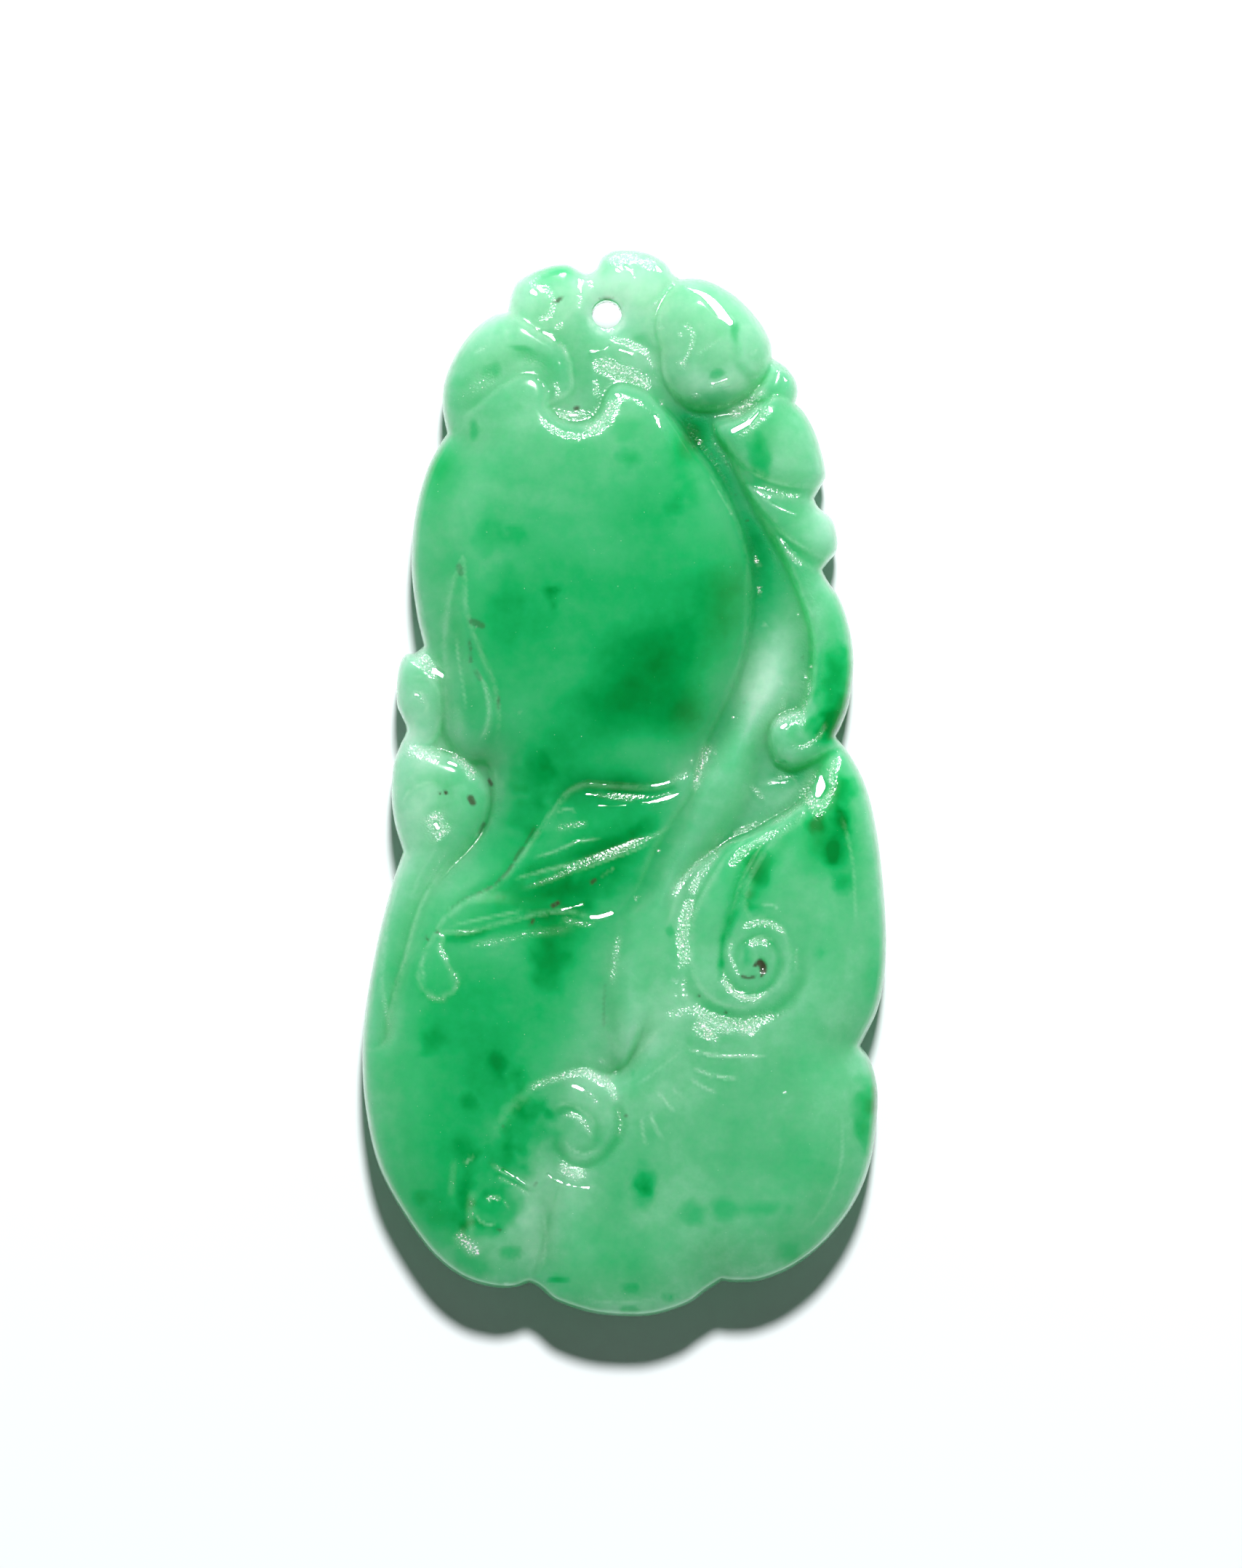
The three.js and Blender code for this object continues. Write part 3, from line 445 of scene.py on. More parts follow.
def carve_twigs(stone):
    """Small twigs under the drilled hole."""
    stone.ridge(((-2.2, 20.4), (-1.6, 20.1), (-0.7, 20.4), (0.3, 20.0), (1.0, 19.7)), 0.5, 0.05)
    stone.facet(((-1.6, 20.1), (-1.1, 20.2), (-0.7, 20.42)), 0.03)
    stone.facet(((-0.2, 20.28), (0.1, 20.15), (0.4, 20.0)), 0.045)
    stone.sparkling_frost(((-0.8, 20.85), (-0.2, 20.7), (0.3, 20.55), (0.9, 20.2), (1.4, 19.8)), 0.16, 0.7)
    stone.sparkling_frost(((-0.95, 21.15), (-0.4, 21.2)), 0.1, 0.7)
    stone.sparkling_frost(((1.0, 19.85), (1.5, 19.4)), 0.12, 0.7)
    stone.groove(((-1.5, 19.7), (-0.5, 19.4), (0.3, 18.95), (1, 18.7), (1.6, 18.4)), 0.6, 0.06, matt=0)
    stone.sparkling_frost(((-1.6, 19.65), (-0.8, 19.5), (-0.2, 19.25), (0.5, 18.95), (1.0, 18.7), (1.5, 18.35)),
                0.42, 0.95)
    stone.groove(((0.3, 21.0), (1.0, 20.6), (1.5, 20.1), (1.6, 19.4)), 0.7, 0.06, matt=0)


def carve_bud(stone):
    """Upper right: a rounded bud with an inner fold and a small knob at its side."""
    crown = 4.5 + 0.45 * stone.dome(3.9, 20.4, 5, 5.5)
    stone.form(((2.6, 23.67), (3.5, 25.3), (6.5, 24.8), (8.6, 21.8), (7.7, 20.1), (6.93, 19.9), (6.6, 19.1),
                (5.8, 18.2), (4.8, 17.55), (3.6, 17.4), (2.7, 17.75), (2.0, 18.6), (1.75, 19.4), (1.7, 20.3),
                (1.5, 21.2), (1.6, 22), (2.1, 23)), crown, 1.5, moat=(0.4, 0.03), edge=0.3)
    stone.groove(((2.5, 21.6), (3, 21.35), (3.25, 20.9), (3.15, 20.4), (2.95, 20), (2.7, 19.6)),
                 0.35, 0.06, matt=0)
    stone.sparkling_frost(((2.6, 21.5), (3.05, 21.3), (3.25, 20.8), (3.0, 20.1), (2.75, 19.6), (2.8, 19.1)), 0.13, 0.75)
    stone.sparkling_frost(((2.5, 19.75), (2.75, 19.5), (2.95, 19.4)), 0.16, 0.8)
    stone.sparkling_frost(((2.6, 21.1), (2.65, 20.8)), 0.12, 0.8)
    stone.sparkling_frost(((1.5, 21.25), (1.95, 21.3)), 0.09, 0.6)
    stone.sparkling_frost(((4.7, 20.9), (4.3, 20.6), (3.7, 20.2), (3.3, 19.9)), 0.06, 0.55)
    stone.facet(((4.1, 18.62), (4.45, 18.75), (4.8, 18.9)), 0.05)
    stone.facet(((4.35, 18.42), (4.6, 18.42), (4.95, 18.55)), 0.04)
    stone.sparkling_frost(((3.85, 18.5), (4.4, 18.65), (4.9, 18.85)), 0.16, 0.5)
    stone.facet(((3.2, 18.15), (3.4, 18.2), (3.55, 18.12)), 0.05)
    stone.sparkling_frost(((3.1, 18.1), (3.6, 18.1)), 0.12, 0.6)
    stone.painted_highlight_line(((3.2, 17.6), (3.6, 17.6)), 0.08)
    stone.groove(((3.7, 19.2), (4.4, 19.4), (5, 19.8)), 0.35, 0.06, matt=0)
    stone.groove(((5.25, 20.5), (5.3, 19.6), (5.7, 19.15), (6.2, 18.85)), 0.45, 0.12, matt=0)
    stone.ridge(((5.7, 20.4), (5.75, 19.7), (6.1, 19.3), (6.5, 19.3)), 0.5, 0.08)
    stone.sparkling_frost(((5.85, 19.95), (6.1, 20.15), (6.3, 20.35)), 0.07, 0.6)
    stone.sparkling_frost(((5.8, 18.9), (6.1, 18.98), (6.35, 19.0)), 0.09, 0.6)
    stone.facet(((2.9, 23.15), (3.5, 22.92), (4.0, 22.52), (4.45, 22.05), (4.95, 21.5)),
                (0.04, 0.1, 0.15, 0.19, 0.15))
    stone.sparkling_frost(((2.75, 23.2), (3.4, 22.98), (3.95, 22.6)), 0.24, 0.5)


def carve_right_leaf(stone):
    """Right side: a small tip, then three lobes, the last with a curled end."""
    stone.form(((5.9, 18), (6.5, 18.75), (6.9, 19.5), (6.95, 20.1), (7.8, 20.6), (9, 19.5), (8.9, 18.2),
                (8.03, 17.83), (7, 17.9)), 4.2, 0.7)
    stone.facet(((7.52, 19.02), (7.62, 18.86)), 0.1)
    stone.sparkling_frost(((7.15, 19.35), (7.45, 19.3), (7.75, 19.1)), 0.12, 0.7)
    stone.form(((4.2, 16.9), (5.4, 17.25), (6.4, 17.85), (7.4, 18.3), (10.2, 18), (11.4, 14), (12, 11),
                (12.6, 6), (12, 3), (10, 2.3), (8.6, 2.6), (8.55, 4), (8.75, 5.5), (8.75, 6.8), (8.4, 8.1),
                (7.9, 9.4), (7.3, 10.7), (6.5, 12.1), (5.9, 13.2), (5.3, 14.4), (4.8, 15.5)),
               4.3, 0.9, edge=0.15)
    stone.form(((4.3, 16.6), (5.5, 17.2), (6.3, 17.75), (7.2, 18.1), (8.03, 17.95), (10.2, 17.9), (11, 15),
                (10.2, 13.9), (8.93, 13.75), (8, 13.8), (7, 14.05), (6.3, 14.4), (5.6, 14.75), (5.2, 15.1),
                (4.7, 15.8)), 4.7, 0.8, moat=(0.3, 0.06), edge=0.2)
    stone.form(((5.7, 13.9), (6.4, 13.75), (7.3, 13.5), (8.9, 13.25), (11, 13), (11.5, 11), (10.6, 10.35),
                (9.35, 10.45), (8.5, 10.8), (7.6, 11.5), (6.9, 12.2), (6.2, 13.0)), 4.65, 0.8,
               moat=(0.3, 0.06), edge=0.2)
    stone.form(((7.1, 11.6), (7.9, 10.8), (8.6, 10.3), (9.35, 10), (11.5, 10), (12.6, 6), (12, 3),
                (10.6, 1.9), (9.6, 1.5), (8.9, 1.0), (8.3, 0.75), (7.8, 0.65), (7.3, 0.85), (6.95, 1.2),
                (6.8, 1.8), (6.8, 2.4), (7.1, 3.0), (7.7, 3.3), (8.3, 3.5), (8.6, 4.1), (8.75, 5), (8.8, 6.5),
                (8.55, 7.8), (8.1, 9.1), (7.6, 10.3)), 4.65, 0.8, moat=(0.4, 0.09), edge=0.2)
    stone.groove(((6.2, 16.2), (6.5, 15.4), (6.4, 14.6)), 0.7, 0.08, matt=0)
    stone.facet(((5.1, 16.45), (5.6, 16.72), (6.0, 17.0), (6.3, 17.35)), (0.13, 0.12, 0.07, 0.05))
    stone.sparkling_frost(((5.0, 16.35), (5.7, 16.7), (6.3, 17.2), (6.7, 17.75)), 0.42, 0.9)
    stone.sparkling_frost(((4.8, 17.1), (5.4, 17.4), (6.0, 17.9), (6.8, 18.5)), 0.36, 0.95)
    stone.sparkling_frost(((6.5, 17.4), (6.9, 17.9), (7.1, 18.3)), 0.1, 0.6)
    stone.painted_highlight_line(((5.6, 14.8), (6.2, 14.4), (7, 14.1), (8, 13.9), (9, 13.95)), 0.13)
    stone.sparkling_frost(((6.2, 14.0), (7, 13.75), (7.5, 13.55), (8.6, 13.4)), 0.12, 0.55)
    stone.painted_highlight_line(((6.2, 13.5), (6.8, 13.1), (7.5, 12.75), (8.2, 12.5)), 0.1)
    stone.facet(((6.9, 13.05), (7.5, 12.75), (8.0, 12.55)), 0.035)
    stone.painted_highlight_line(((6.9, 12.2), (7.6, 11.55), (8.4, 11.05), (9.2, 10.75)), 0.12)
    stone.sparkling_frost(((7.5, 10.95), (7.8, 10.6), (8.3, 10.15)), 0.11, 0.85)
    stone.painted_highlight_line(((8.1, 9.2), (8.6, 8.3), (8.9, 7.6)), 0.14, 0.35)
    stone.sparkling_frost(((5.75, 10.4), (5.7, 9), (5.65, 7.4), (5.5, 6.2)), 0.09, 0.5)
    stone.groove(((9.3, 9.2), (9.7, 7.8), (9.85, 6), (9.6, 4.3)), 0.9, 0.08, matt=0)
    stone.groove(((9.6, 3.1), (9.3, 2.5), (8.8, 2.05), (8.2, 1.9), (7.9, 2.3), (8.1, 2.9)), 0.4, 0.1, matt=0)
    stone.sparkling_frost(((9.45, 2.9), (9.2, 2.35), (8.8, 1.95), (8.1, 1.6)), 0.1, 0.9)
    stone.knob(7.5, 2.5, 0.6, 0.04)
    stone.sparkling_frost(((7.0, 2.5), (7.3, 2.95), (7.9, 3.2), (8.5, 3.4)), 0.3, 0.85)
    stone.facet(((7.35, 2.62), (7.55, 2.72)), 0.09)
    stone.facet(((7.1, 1.05), (7.3, 0.98), (7.5, 0.97)), 0.05)
    stone.sparkling_frost(((8.55, 5.4), (8.65, 4.4), (8.4, 3.5), (8.3, 2.7), (8.3, 2.2)), 0.2, 0.7)
    stone.sparkling_frost(((7.35, 3.3), (7.45, 3.8), (7.6, 4.5)), 0.2, 0.75)


def carve_side_scrolls(stone):
    """Left side: upper scroll, and lower scroll with its knob."""
    stone.form(((-9, 1.9), (-10.3, 2), (-12, 3), (-12, 6.5), (-9.9, 6.6), (-9.2, 6.1), (-8.5, 5.2),
                (-8.35, 4.2), (-8.45, 3)), 4.3, 0.9)
    stone.knob(-9.5, 3.8, 0.95, 0.08)
    stone.painted_highlight_line(((-10.2, 4.5), (-9.8, 4.95), (-9.1, 4.85), (-8.65, 4.2), (-8.6, 3.3), (-8.9, 2.6)),
                  0.16, 0.3)
    stone.painted_highlight_line(((-10.1, 3.8), (-9.75, 4.25), (-9.35, 4.1), (-9.2, 3.5), (-9.5, 3.05)), 0.14, 0.4)
    stone.facet(((-9.75, 4.15), (-9.6, 4.12)), 0.06)
    stone.sparkling_frost(((-9.9, 4.1), (-9.5, 4.15), (-9.4, 3.6)), 0.14, 0.7)
    stone.facet(((-8.85, 5.25), (-8.5, 5.05)), 0.11)
    stone.sparkling_frost(((-9.9, 6.0), (-9.4, 5.75), (-9.0, 5.45), (-8.6, 5.1), (-8.4, 4.9)), 0.4, 0.95)
    stone.form(((-8.6, 1.5), (-9.4, 1.8), (-10.4, 2.4), (-12.2, 1), (-12.6, -3), (-13.4, -8), (-12.8, -12.6),
                (-11.3, -12.4), (-10.7, -10.5), (-10.1, -8.5), (-9.6, -6.6), (-9, -5.1), (-8.1, -3.9),
                (-7.1, -2.9), (-6.6, -2.1), (-6.3, -1.1), (-6.4, -0.1), (-6.9, 0.6), (-7.6, 1.2)),
               4.5, 1.1, edge=0.1)
    stone.sparkling_frost(((-10.4, 1.6), (-9.7, 1.5), (-8.9, 1.4), (-8.3, 1.35)), 0.36, 0.6)
    stone.groove(((-10.6, -1.6), (-10.3, -0.7), (-9.7, -0.1), (-8.9, 0.1), (-8.3, -0.2), (-8.4, -1.0)),
                 0.5, 0.1, matt=0)
    stone.painted_highlight_line(((-10.4, -1.3), (-10.2, -0.6), (-9.7, -0.15), (-9.1, 0), (-8.6, -0.15)), 0.14)
    stone.painted_highlight_line(((-9.9, 0.6), (-9.2, 1.05), (-8.5, 1.25)), 0.16)
    stone.knob(-7.65, -1.0, 0.95, 0.07)
    stone.sparkling_frost(((-8.3, 1.35), (-7.7, 1.15), (-7.3, 0.75), (-7.05, 0.35), (-6.9, 0.0)), 0.3, 0.9)
    stone.facet(((-8.15, 0.98), (-7.85, 0.85)), 0.08)
    stone.facet(((-8.78, -1.9), (-8.7, -2.1)), 0.09)
    stone.sparkling_frost(((-9.05, -1.3), (-8.8, -1.8), (-8.55, -2.3), (-8.3, -2.6)), 0.6, 0.98)


def carve_gourd(stone):
    """The large upper body, the waist behind the leaf, and the lower body."""
    crown = 4.65 + 1.2 * stone.dome(-2, 9.5, 9, 12.5) + 0.5 * stone.dome(-7, -13, 7, 10)
    roll = 0.6 + 2.2 * ease((17 - stone.y) / 6) * ease((stone.x + 10) / 4)
    stone.form(((-14, 16.3), (-8.3, 16.4), (-7.4, 17.25), (-6.3, 18.15), (-5.3, 18.85), (-4.4, 19.1),
                (-3.8, 18.8), (-3.5, 18.2), (-3.55, 17.6), (-3.1, 17.05), (-2.3, 16.8), (-1.5, 16.95),
                (-1.0, 17.5), (-0.8, 18.1), (-0.3, 18.6), (0.6, 18.45), (1.5, 17.9), (2.5, 16.9), (3.3, 15.8),
                (4.2, 14.6), (4.95, 13.3), (5.6, 11.6), (5.95, 9.9), (6, 8.2), (5.75, 6.4), (5.2, 4.6),
                (4.5, 3.1), (3.9, 1.9), (3.55, 0.8), (3.35, -0.4), (3, -1.8), (2.5, -3.2), (2, -4.6),
                (1.55, -6), (1.25, -7.6), (1.1, -9), (1.05, -10.2), (0.9, -11.4), (0.6, -12.6), (-0.4, -14.2),
                (-2, -16), (-3, -18.5), (-4, -22), (-4.4, -23.6), (-5, -27), (-16, -27), (-16, -12.5),
                (-11.6, -12.3), (-11, -10.6), (-10.4, -8.6), (-9.9, -6.7), (-9.3, -5.2), (-8.4, -4),
                (-7.2, -2.9), (-6.5, -2.1), (-6.15, -1), (-6.2, 0.3), (-6.5, 0.9), (-7.2, 1), (-7.9, 1.5),
                (-8.4, 2.4), (-8.5, 3.6), (-8.6, 5), (-9.2, 6.1), (-9.8, 6.3), (-14, 6.3)),
               crown, roll, edge=0.12)
    stone.ridge(((-2.95, 19.8), (-2.9, 19), (-2.85, 18.3), (-2.7, 17.8)), 0.5, 0.07)
    stone.ridge(((-1.35, 19.8), (-1.35, 19), (-1.4, 18.3), (-1.6, 17.8)), 0.5, 0.07)
    stone.sparkling_frost(((-3.2, 18.8), (-3.1, 18.4), (-3.1, 17.9)), 0.14, 0.8)
    stone.sparkling_frost(((-1.35, 18.9), (-1.3, 18.4), (-1.35, 18.0)), 0.11, 0.85)
    stone.facet(((-2.5, 17.15), (-2.2, 17.2)), 0.06)
    stone.sparkling_frost(((-3.2, 17.3), (-2.4, 17.15), (-1.7, 17.3)), 0.2, 0.95)
    stone.sparkling_frost(((-4.0, 17.1), (-3.5, 16.6), (-2.9, 16.3), (-2.3, 16.18), (-1.7, 16.2)), 0.16, 0.6)
    stone.sparkling_frost(((-2.1, 16.45), (-1.4, 16.6), (-0.9, 17.0), (-0.6, 17.6), (-0.4, 18.1)), 0.34, 0.95)
    stone.facet(((-4.05, 18.85), (-3.85, 18.7), (-3.7, 18.5)), 0.045)
    stone.facet(((-0.4, 18.15), (-0.3, 18.1), (-0.22, 18.08)), 0.06)
    stone.facet(((1.42, 17.15), (1.58, 16.9), (1.68, 16.6)), 0.07)
    stone.sparkling_frost(((1.35, 17.4), (1.6, 16.9), (1.75, 16.4)), 0.12, 0.6)
    stone.sparkling_frost(((0.5, 18.0), (0.9, 17.6)), 0.1, 0.5)
    stone.sparkling_frost(((1.7, 17.95), (1.8, 17.6)), 0.1, 0.6)
    stone.painted_highlight_line(((3.9, 14.5), (4.5, 13.5), (5.3, 12.2)), 0.09, 0.35)


def carve_blade_leaf(stone):
    """A narrow leaf cut into the left of the upper gourd."""
    upper = ease((stone.y - 1.5) / 2)
    stone.form(((-8.4, 3.4), (-8.45, 5), (-8.5, 6.6), (-8.35, 8.2), (-7.95, 9.8), (-7.5, 10.7), (-7.3, 9.6),
                (-7.25, 8.3), (-6.95, 7.2), (-6.55, 6.1), (-6.05, 5), (-5.8, 4), (-5.7, 3), (-5.85, 2),
                (-6.3, 1), (-7, 0.9), (-7.8, 1.5), (-8.3, 2.3)),
               stone.height - 0.12 * ease((stone.y - 1) / 3), 0.4,
               moat=(0.15, 0.03 * upper), edge=0.22 * upper)
    stone.ridge(((-7.5, 9.8), (-7.45, 7.5), (-7.1, 5.6), (-6.5, 4.2), (-6.3, 3.3), (-6.5, 2.4), (-7, 1.7)),
                0.5, 0.12)
    stone.groove(((-7.85, 8), (-7.8, 6), (-7.5, 4.5), (-7.35, 3.2), (-7.4, 2.2)), 0.5, 0.08, matt=0)
    stone.painted_highlight_line(((-7.8, 7.2), (-7.75, 6), (-7.5, 4.5), (-7.35, 3.2)), 0.09, 0.4)
    stone.painted_highlight_line(((-7.1, 5.6), (-6.6, 4.8), (-6.35, 4.0), (-6.3, 3.2), (-6.5, 2.4), (-6.9, 1.9)), 0.12, 0.35)
    stone.sparkling_frost(((-7.9, 10.2), (-8.2, 9.0), (-8.35, 8), (-8.35, 6.6)), 0.22, 0.3)
    stone.sparkling_frost(((-6.6, 4.9), (-6.3, 4.0), (-6.25, 3.3), (-6.4, 2.4), (-6.9, 1.8)), 0.2, 0.4)
    stone.sparkling_frost(((-7.8, 3.8), (-7.7, 3.0), (-7.7, 1.8)), 0.3, 0.4)


def carve_strands(stone):
    """Two tendril strands that run down onto the lower gourd."""
    stone.ridge(((-8.8, -0.9), (-9.2, -1.8), (-10.1, -3.4), (-10.7, -4.8), (-11.05, -5.9), (-11.3, -8.3),
                 (-11.3, -9.4), (-11.15, -11)), 0.6, 0.14)
    stone.ridge(((-7.1, -2.6), (-8.5, -4), (-9.3, -5.2), (-9.8, -6.5), (-10.2, -8), (-10.6, -9.2),
                 (-10.9, -10.5)), 0.5, 0.16)
    stone.painted_highlight_line(((-9.2, -1.9), (-10.1, -3.5), (-10.7, -4.9), (-11.0, -6), (-11.25, -8.3), (-11.3, -9.4),
                   (-11.1, -11.2)), 0.2, 0.3)
    stone.painted_highlight_line(((-7.4, -3.0), (-8.5, -4.05), (-9.3, -5.3), (-9.8, -6.6), (-10.2, -8.1), (-10.7, -9.6),
                   (-11.0, -11.3)), 0.18, 0.3)
    stone.painted_highlight_line(((-8.6, -2.8), (-9.4, -4), (-10, -5.5)), 0.12, 0.25)
    stone.sparkling_frost(((-11.25, -9.6), (-11.1, -10.6), (-11.0, -11.6)), 0.12, 0.5)
    stone.sparkling_frost(((-8.2, -2.9), (-8.7, -3.8), (-9.4, -5.0)), 0.14, 0.35)


def carve_fungus(stone):
    """The fan-shaped cap, its stalk, and the three spirals of its rolled edge."""
    left, upper = ease((-2.2 - stone.x) / 3), ease((stone.y + 13) / 2)
    crown = 4.8 + 0.6 * stone.dome(6, -13, 9, 12)
    crown -= 0.65 * ease((stone.y + 9) / 4) * ease((5.5 - stone.x) / 1.5)
    crown = crown * (1 - left) + (stone.height + 0.03) * left
    stone.form(((14, 3), (9.9, 1.4), (9, 0), (8, -1.1), (6.6, -2.1), (5.2, -2.6), (4.2, -3.2), (3.3, -3.8),
                (2.4, -4.8), (1.7, -6), (1.3, -7.2), (1.05, -8.6), (1, -10), (0.9, -11.2), (0.6, -12.3),
                (0.1, -13.2), (-0.7, -13.6), (-1.9, -13.3), (-3.5, -13.85), (-5, -14.6), (-6.1, -16.1),
                (-6.9, -17.6), (-7.5, -19), (-7.7, -20.6), (-7.3, -22.3), (-6.6, -23.6), (-5, -27), (8, -27),
                (16, -16), (15, -5)),
               crown, 1.0, moat=(0.4, 0.14 * (1 - left) - 0.08 * upper), edge=0.12 * (1 - left))
    stone.form(((7.0, 9.3), (7.8, 8.4), (8.2, 7.2), (8.35, 5.8), (8.2, 4.4), (7.6, 3.4), (6.9, 2.7),
                (6.55, 1.7), (6.4, 0.8), (6.1, -0.6), (5.2, -2.2), (3.9, -3.9), (3.1, -5.6), (2.8, -7.5),
                (2.8, -9.5), (2.6, -10.8), (1.5, -12), (0.2, -13.6), (-0.6, -13.2), (-0.95, -11),
                (-0.9, -8.5), (-0.4, -6.3), (0.6, -4.9), (1.3, -3.3), (2, -1.8), (2.8, 0.2), (3.8, 1.4),
                (4.9, 3.1), (5.6, 5.2), (6.1, 7.4)),
               4.35 + 0.9 * ease((-3 - stone.y) / 8) - 1.1 * ease((stone.y - 2) / 6), 1.3, edge=0, rise=ease)
    hollow = ((8.6, -1.6), (7.4, -2.7), (6.3, -4.1), (5.8, -5.2), (5.7, -6.0))
    stone.groove(hollow, (0.5, 1.0, 0.8), 0.2, 0.3, matt=0)
    stone.groove(coil(5.6, -8.3, (178, 2.7), (200, 2.75), (225, 2.75), (250, 2.7), (275, 2.65), (300, 2.7),
                      (325, 2.75), (350, 2.75), (20, 2.7)), 0.55, 0.22, 0.3, matt=0)
    roll = 4.95 + 0.15 * stone.dome(6, -8, 5, 5) - 0.28 * ease((stone.y + 6) / 3)
    roll += ease((-5 - stone.y) / 3) * np.maximum(0, stone.height + 0.03 - roll)
    stone.form([(8.4, -1.0), (7.4, -1.5), (6.0, -2.3), (4.9, -3.1), (4.1, -4.3), (3.4, -5.6), (3.1, -6.8),
                (3.05, -8), (3.3, -9.2), (4, -10.1), (5, -10.5), (6, -10.4), (7, -9.8), (7.65, -9),
                (7.85, -8), (7.65, -7.1), (7.1, -6.45), (6.4, -6.25), (5.9, -6.1), (5.75, -5.6), (5.85, -4.8),
                (6.4, -3.7), (7.3, -2.6), (8.4, -1.8)], roll, 0.9, moat=(0.35, 0.03), edge=0.2)
    stone.groove([(8.2, -1.6), (6.9, -2.4), (5.7, -4.0), (5.1, -5.6), (4.6, -7.2)]
                 + coil(6.1, -8.3, (195, 1.5), (232, 1.55), (268, 1.5), (310, 1.25), (5, 1.15), (50, 1.15),
                        (85, 1.1), (130, 1.0), (180, 0.85), (230, 0.75), (290, 0.5)),
                 (0.35, 0.35, 0.35, 0.3, 0.25), 0.17, 0.15, matt=0)
    stone.groove(((6.2, -8.2), (6.5, -8.4), (6.4, -8.8)), 0.3, 0.25, matt=0)
    stone.painted_highlight_line(coil(6.1, -8.3, (200, 1.75), (225, 1.75), (250, 1.75), (275, 1.7), (300, 1.55)), 0.1, 0.7)
    stone.painted_highlight_line(((8.2, -1.5), (6.9, -2.35), (5.8, -3.9), (5.25, -5.3), (4.9, -6.4)), 0.08, 0.3)
    stone.sparkling_frost(((4.55, -8.5), (4.8, -9.2), (5.2, -9.6), (5.6, -9.75), (6.2, -9.7)), 0.09, 0.6)
    stone.facet(((5.1, -9.62), (5.5, -9.76), (6.0, -9.75)), 0.035)
    stone.facet(((5.3, -10.32), (5.5, -10.33)), 0.03)
    stone.painted_highlight_line(((3.1, -6), (3.05, -8), (3.35, -9.2), (4.1, -10.05), (5, -10.4), (6, -10.4), (7, -9.8)),
                  0.12, 0.28)
    stone.painted_highlight_line(((5.9, -7.3), (6.4, -7.15), (7, -7.35)), 0.09, 0.6)
    stone.sparkling_frost(((5.4, -6.85), (5.8, -6.62), (6.3, -6.5), (6.8, -6.55), (7.2, -6.75), (7.6, -7.1)), 0.18, 0.9)
    stone.sparkling_frost(((5.1, -7.2), (4.9, -7.9), (5.1, -8.4), (5.3, -8.9), (5.4, -9.2)), 0.09, 0.7)
    stone.sparkling_frost(((8.1, -7.5), (8.0, -8.2), (8.1, -8.8)), 0.07, 0.5)
    stone.sparkling_frost(((4.7, -2.9), (4.2, -3.5), (3.4, -4.5), (3.1, -5.4)), 0.2, 0.75)
    stone.sparkling_frost(((4.8, -2.8), (3.9, -3.35), (3.2, -3.95), (2.6, -4.6), (2.0, -5.5)), 0.2, 0.7)
    stone.sparkling_frost(((7.3, -2.15), (6.4, -2.65), (5.6, -3.2), (4.8, -3.95)), 0.2, 0.7)
    stone.sparkling_frost(((4.0, 2.0), (3.6, 0.9), (3.25, -0.5)), 0.24, 0.97)
    stone.sparkling_frost(((3.2, -5.2), (2.95, -6.2), (2.75, -7.2), (2.8, -8.0), (2.85, -8.8)), 0.3, 0.85)
    stone.sparkling_frost(((2.9, -8.9), (2.75, -9.6), (2.95, -10.2)), 0.16, 0.5)
    stone.sparkling_frost(((5.0, -2.4), (5.9, -2.0), (6.4, -1.8)), 0.14, 0.85)
    stone.sparkling_frost(((6.8, -2.0), (7.6, -1.5), (8.2, -1.0), (8.8, -0.6)), 0.16, 0.75)
    stone.sparkling_frost(((1.8, -10.9), (2.4, -10.7), (3.1, -10.6), (3.8, -10.9)), 0.3, 0.55)
    stone.sparkling_frost(((3.1, -10.3), (3.8, -10.85), (4.8, -11.15), (5.8, -11.15), (6.9, -10.7)), 0.3, 0.8)
    stone.sparkling_frost(((4.6, -8.9), (4.9, -9.5), (5.5, -9.95), (6.5, -10.0)), 0.24, 0.95)
    stone.sparkling_frost(((5.8, -7.5), (6.3, -7.35), (6.8, -7.45)), 0.2, 0.9)
    stone.sparkling_frost(((3.6, -9.6), (4.4, -10.2), (5.2, -10.35)), 0.1, 0.25)
    stone.sparkling_frost(((3.3, -11.0), (3.7, -11.4), (4.0, -11.9), (3.9, -12.1)), 0.5, 0.95)
    stone.sparkling_frost(((4.0, -11.3), (4.8, -11.4), (5.3, -11.35)), 0.36, 0.7)
    stone.sparkling_frost(((5.2, -11.3), (5.8, -11.4), (6.0, -11.8)), 0.42, 0.95)
    stone.sparkling_frost(((6.1, -11.2), (6.5, -10.9), (7.0, -10.6)), 0.14, 0.5)
    stone.sparkling_frost(((3.3, -10.2), (3.7, -10.7)), 0.14, 0.5)
    stone.painted_highlight_line(((6.3, -5.7), (6.8, -5.65), (7.3, -5.9)), 0.08, 0.6)
    stone.sparkling_frost(((-0.2, -6.9), (-0.4, -8.2), (-0.6, -9.6)), 0.2, 0.55)
    stone.groove(coil(-2.1, -16.4, (160, 1.6), (120, 1.35), (95, 1.15), (50, 0.95), (10, 0.85), (-40, 0.85),
                      (-90, 0.8), (-140, 0.7)), 0.4, 0.14, matt=0)
    stone.groove(coil(-1.95, -16.2, (185, 1.3), (220, 1.45), (250, 1.6), (275, 1.65), (300, 1.6), (330, 1.6),
                      (0, 1.75), (25, 1.9), (50, 2.1)), 0.45, 0.22, matt=0)
    stone.facet(((-2.35, -14.12), (-2.15, -14.18), (-1.95, -14.3)), 0.09)
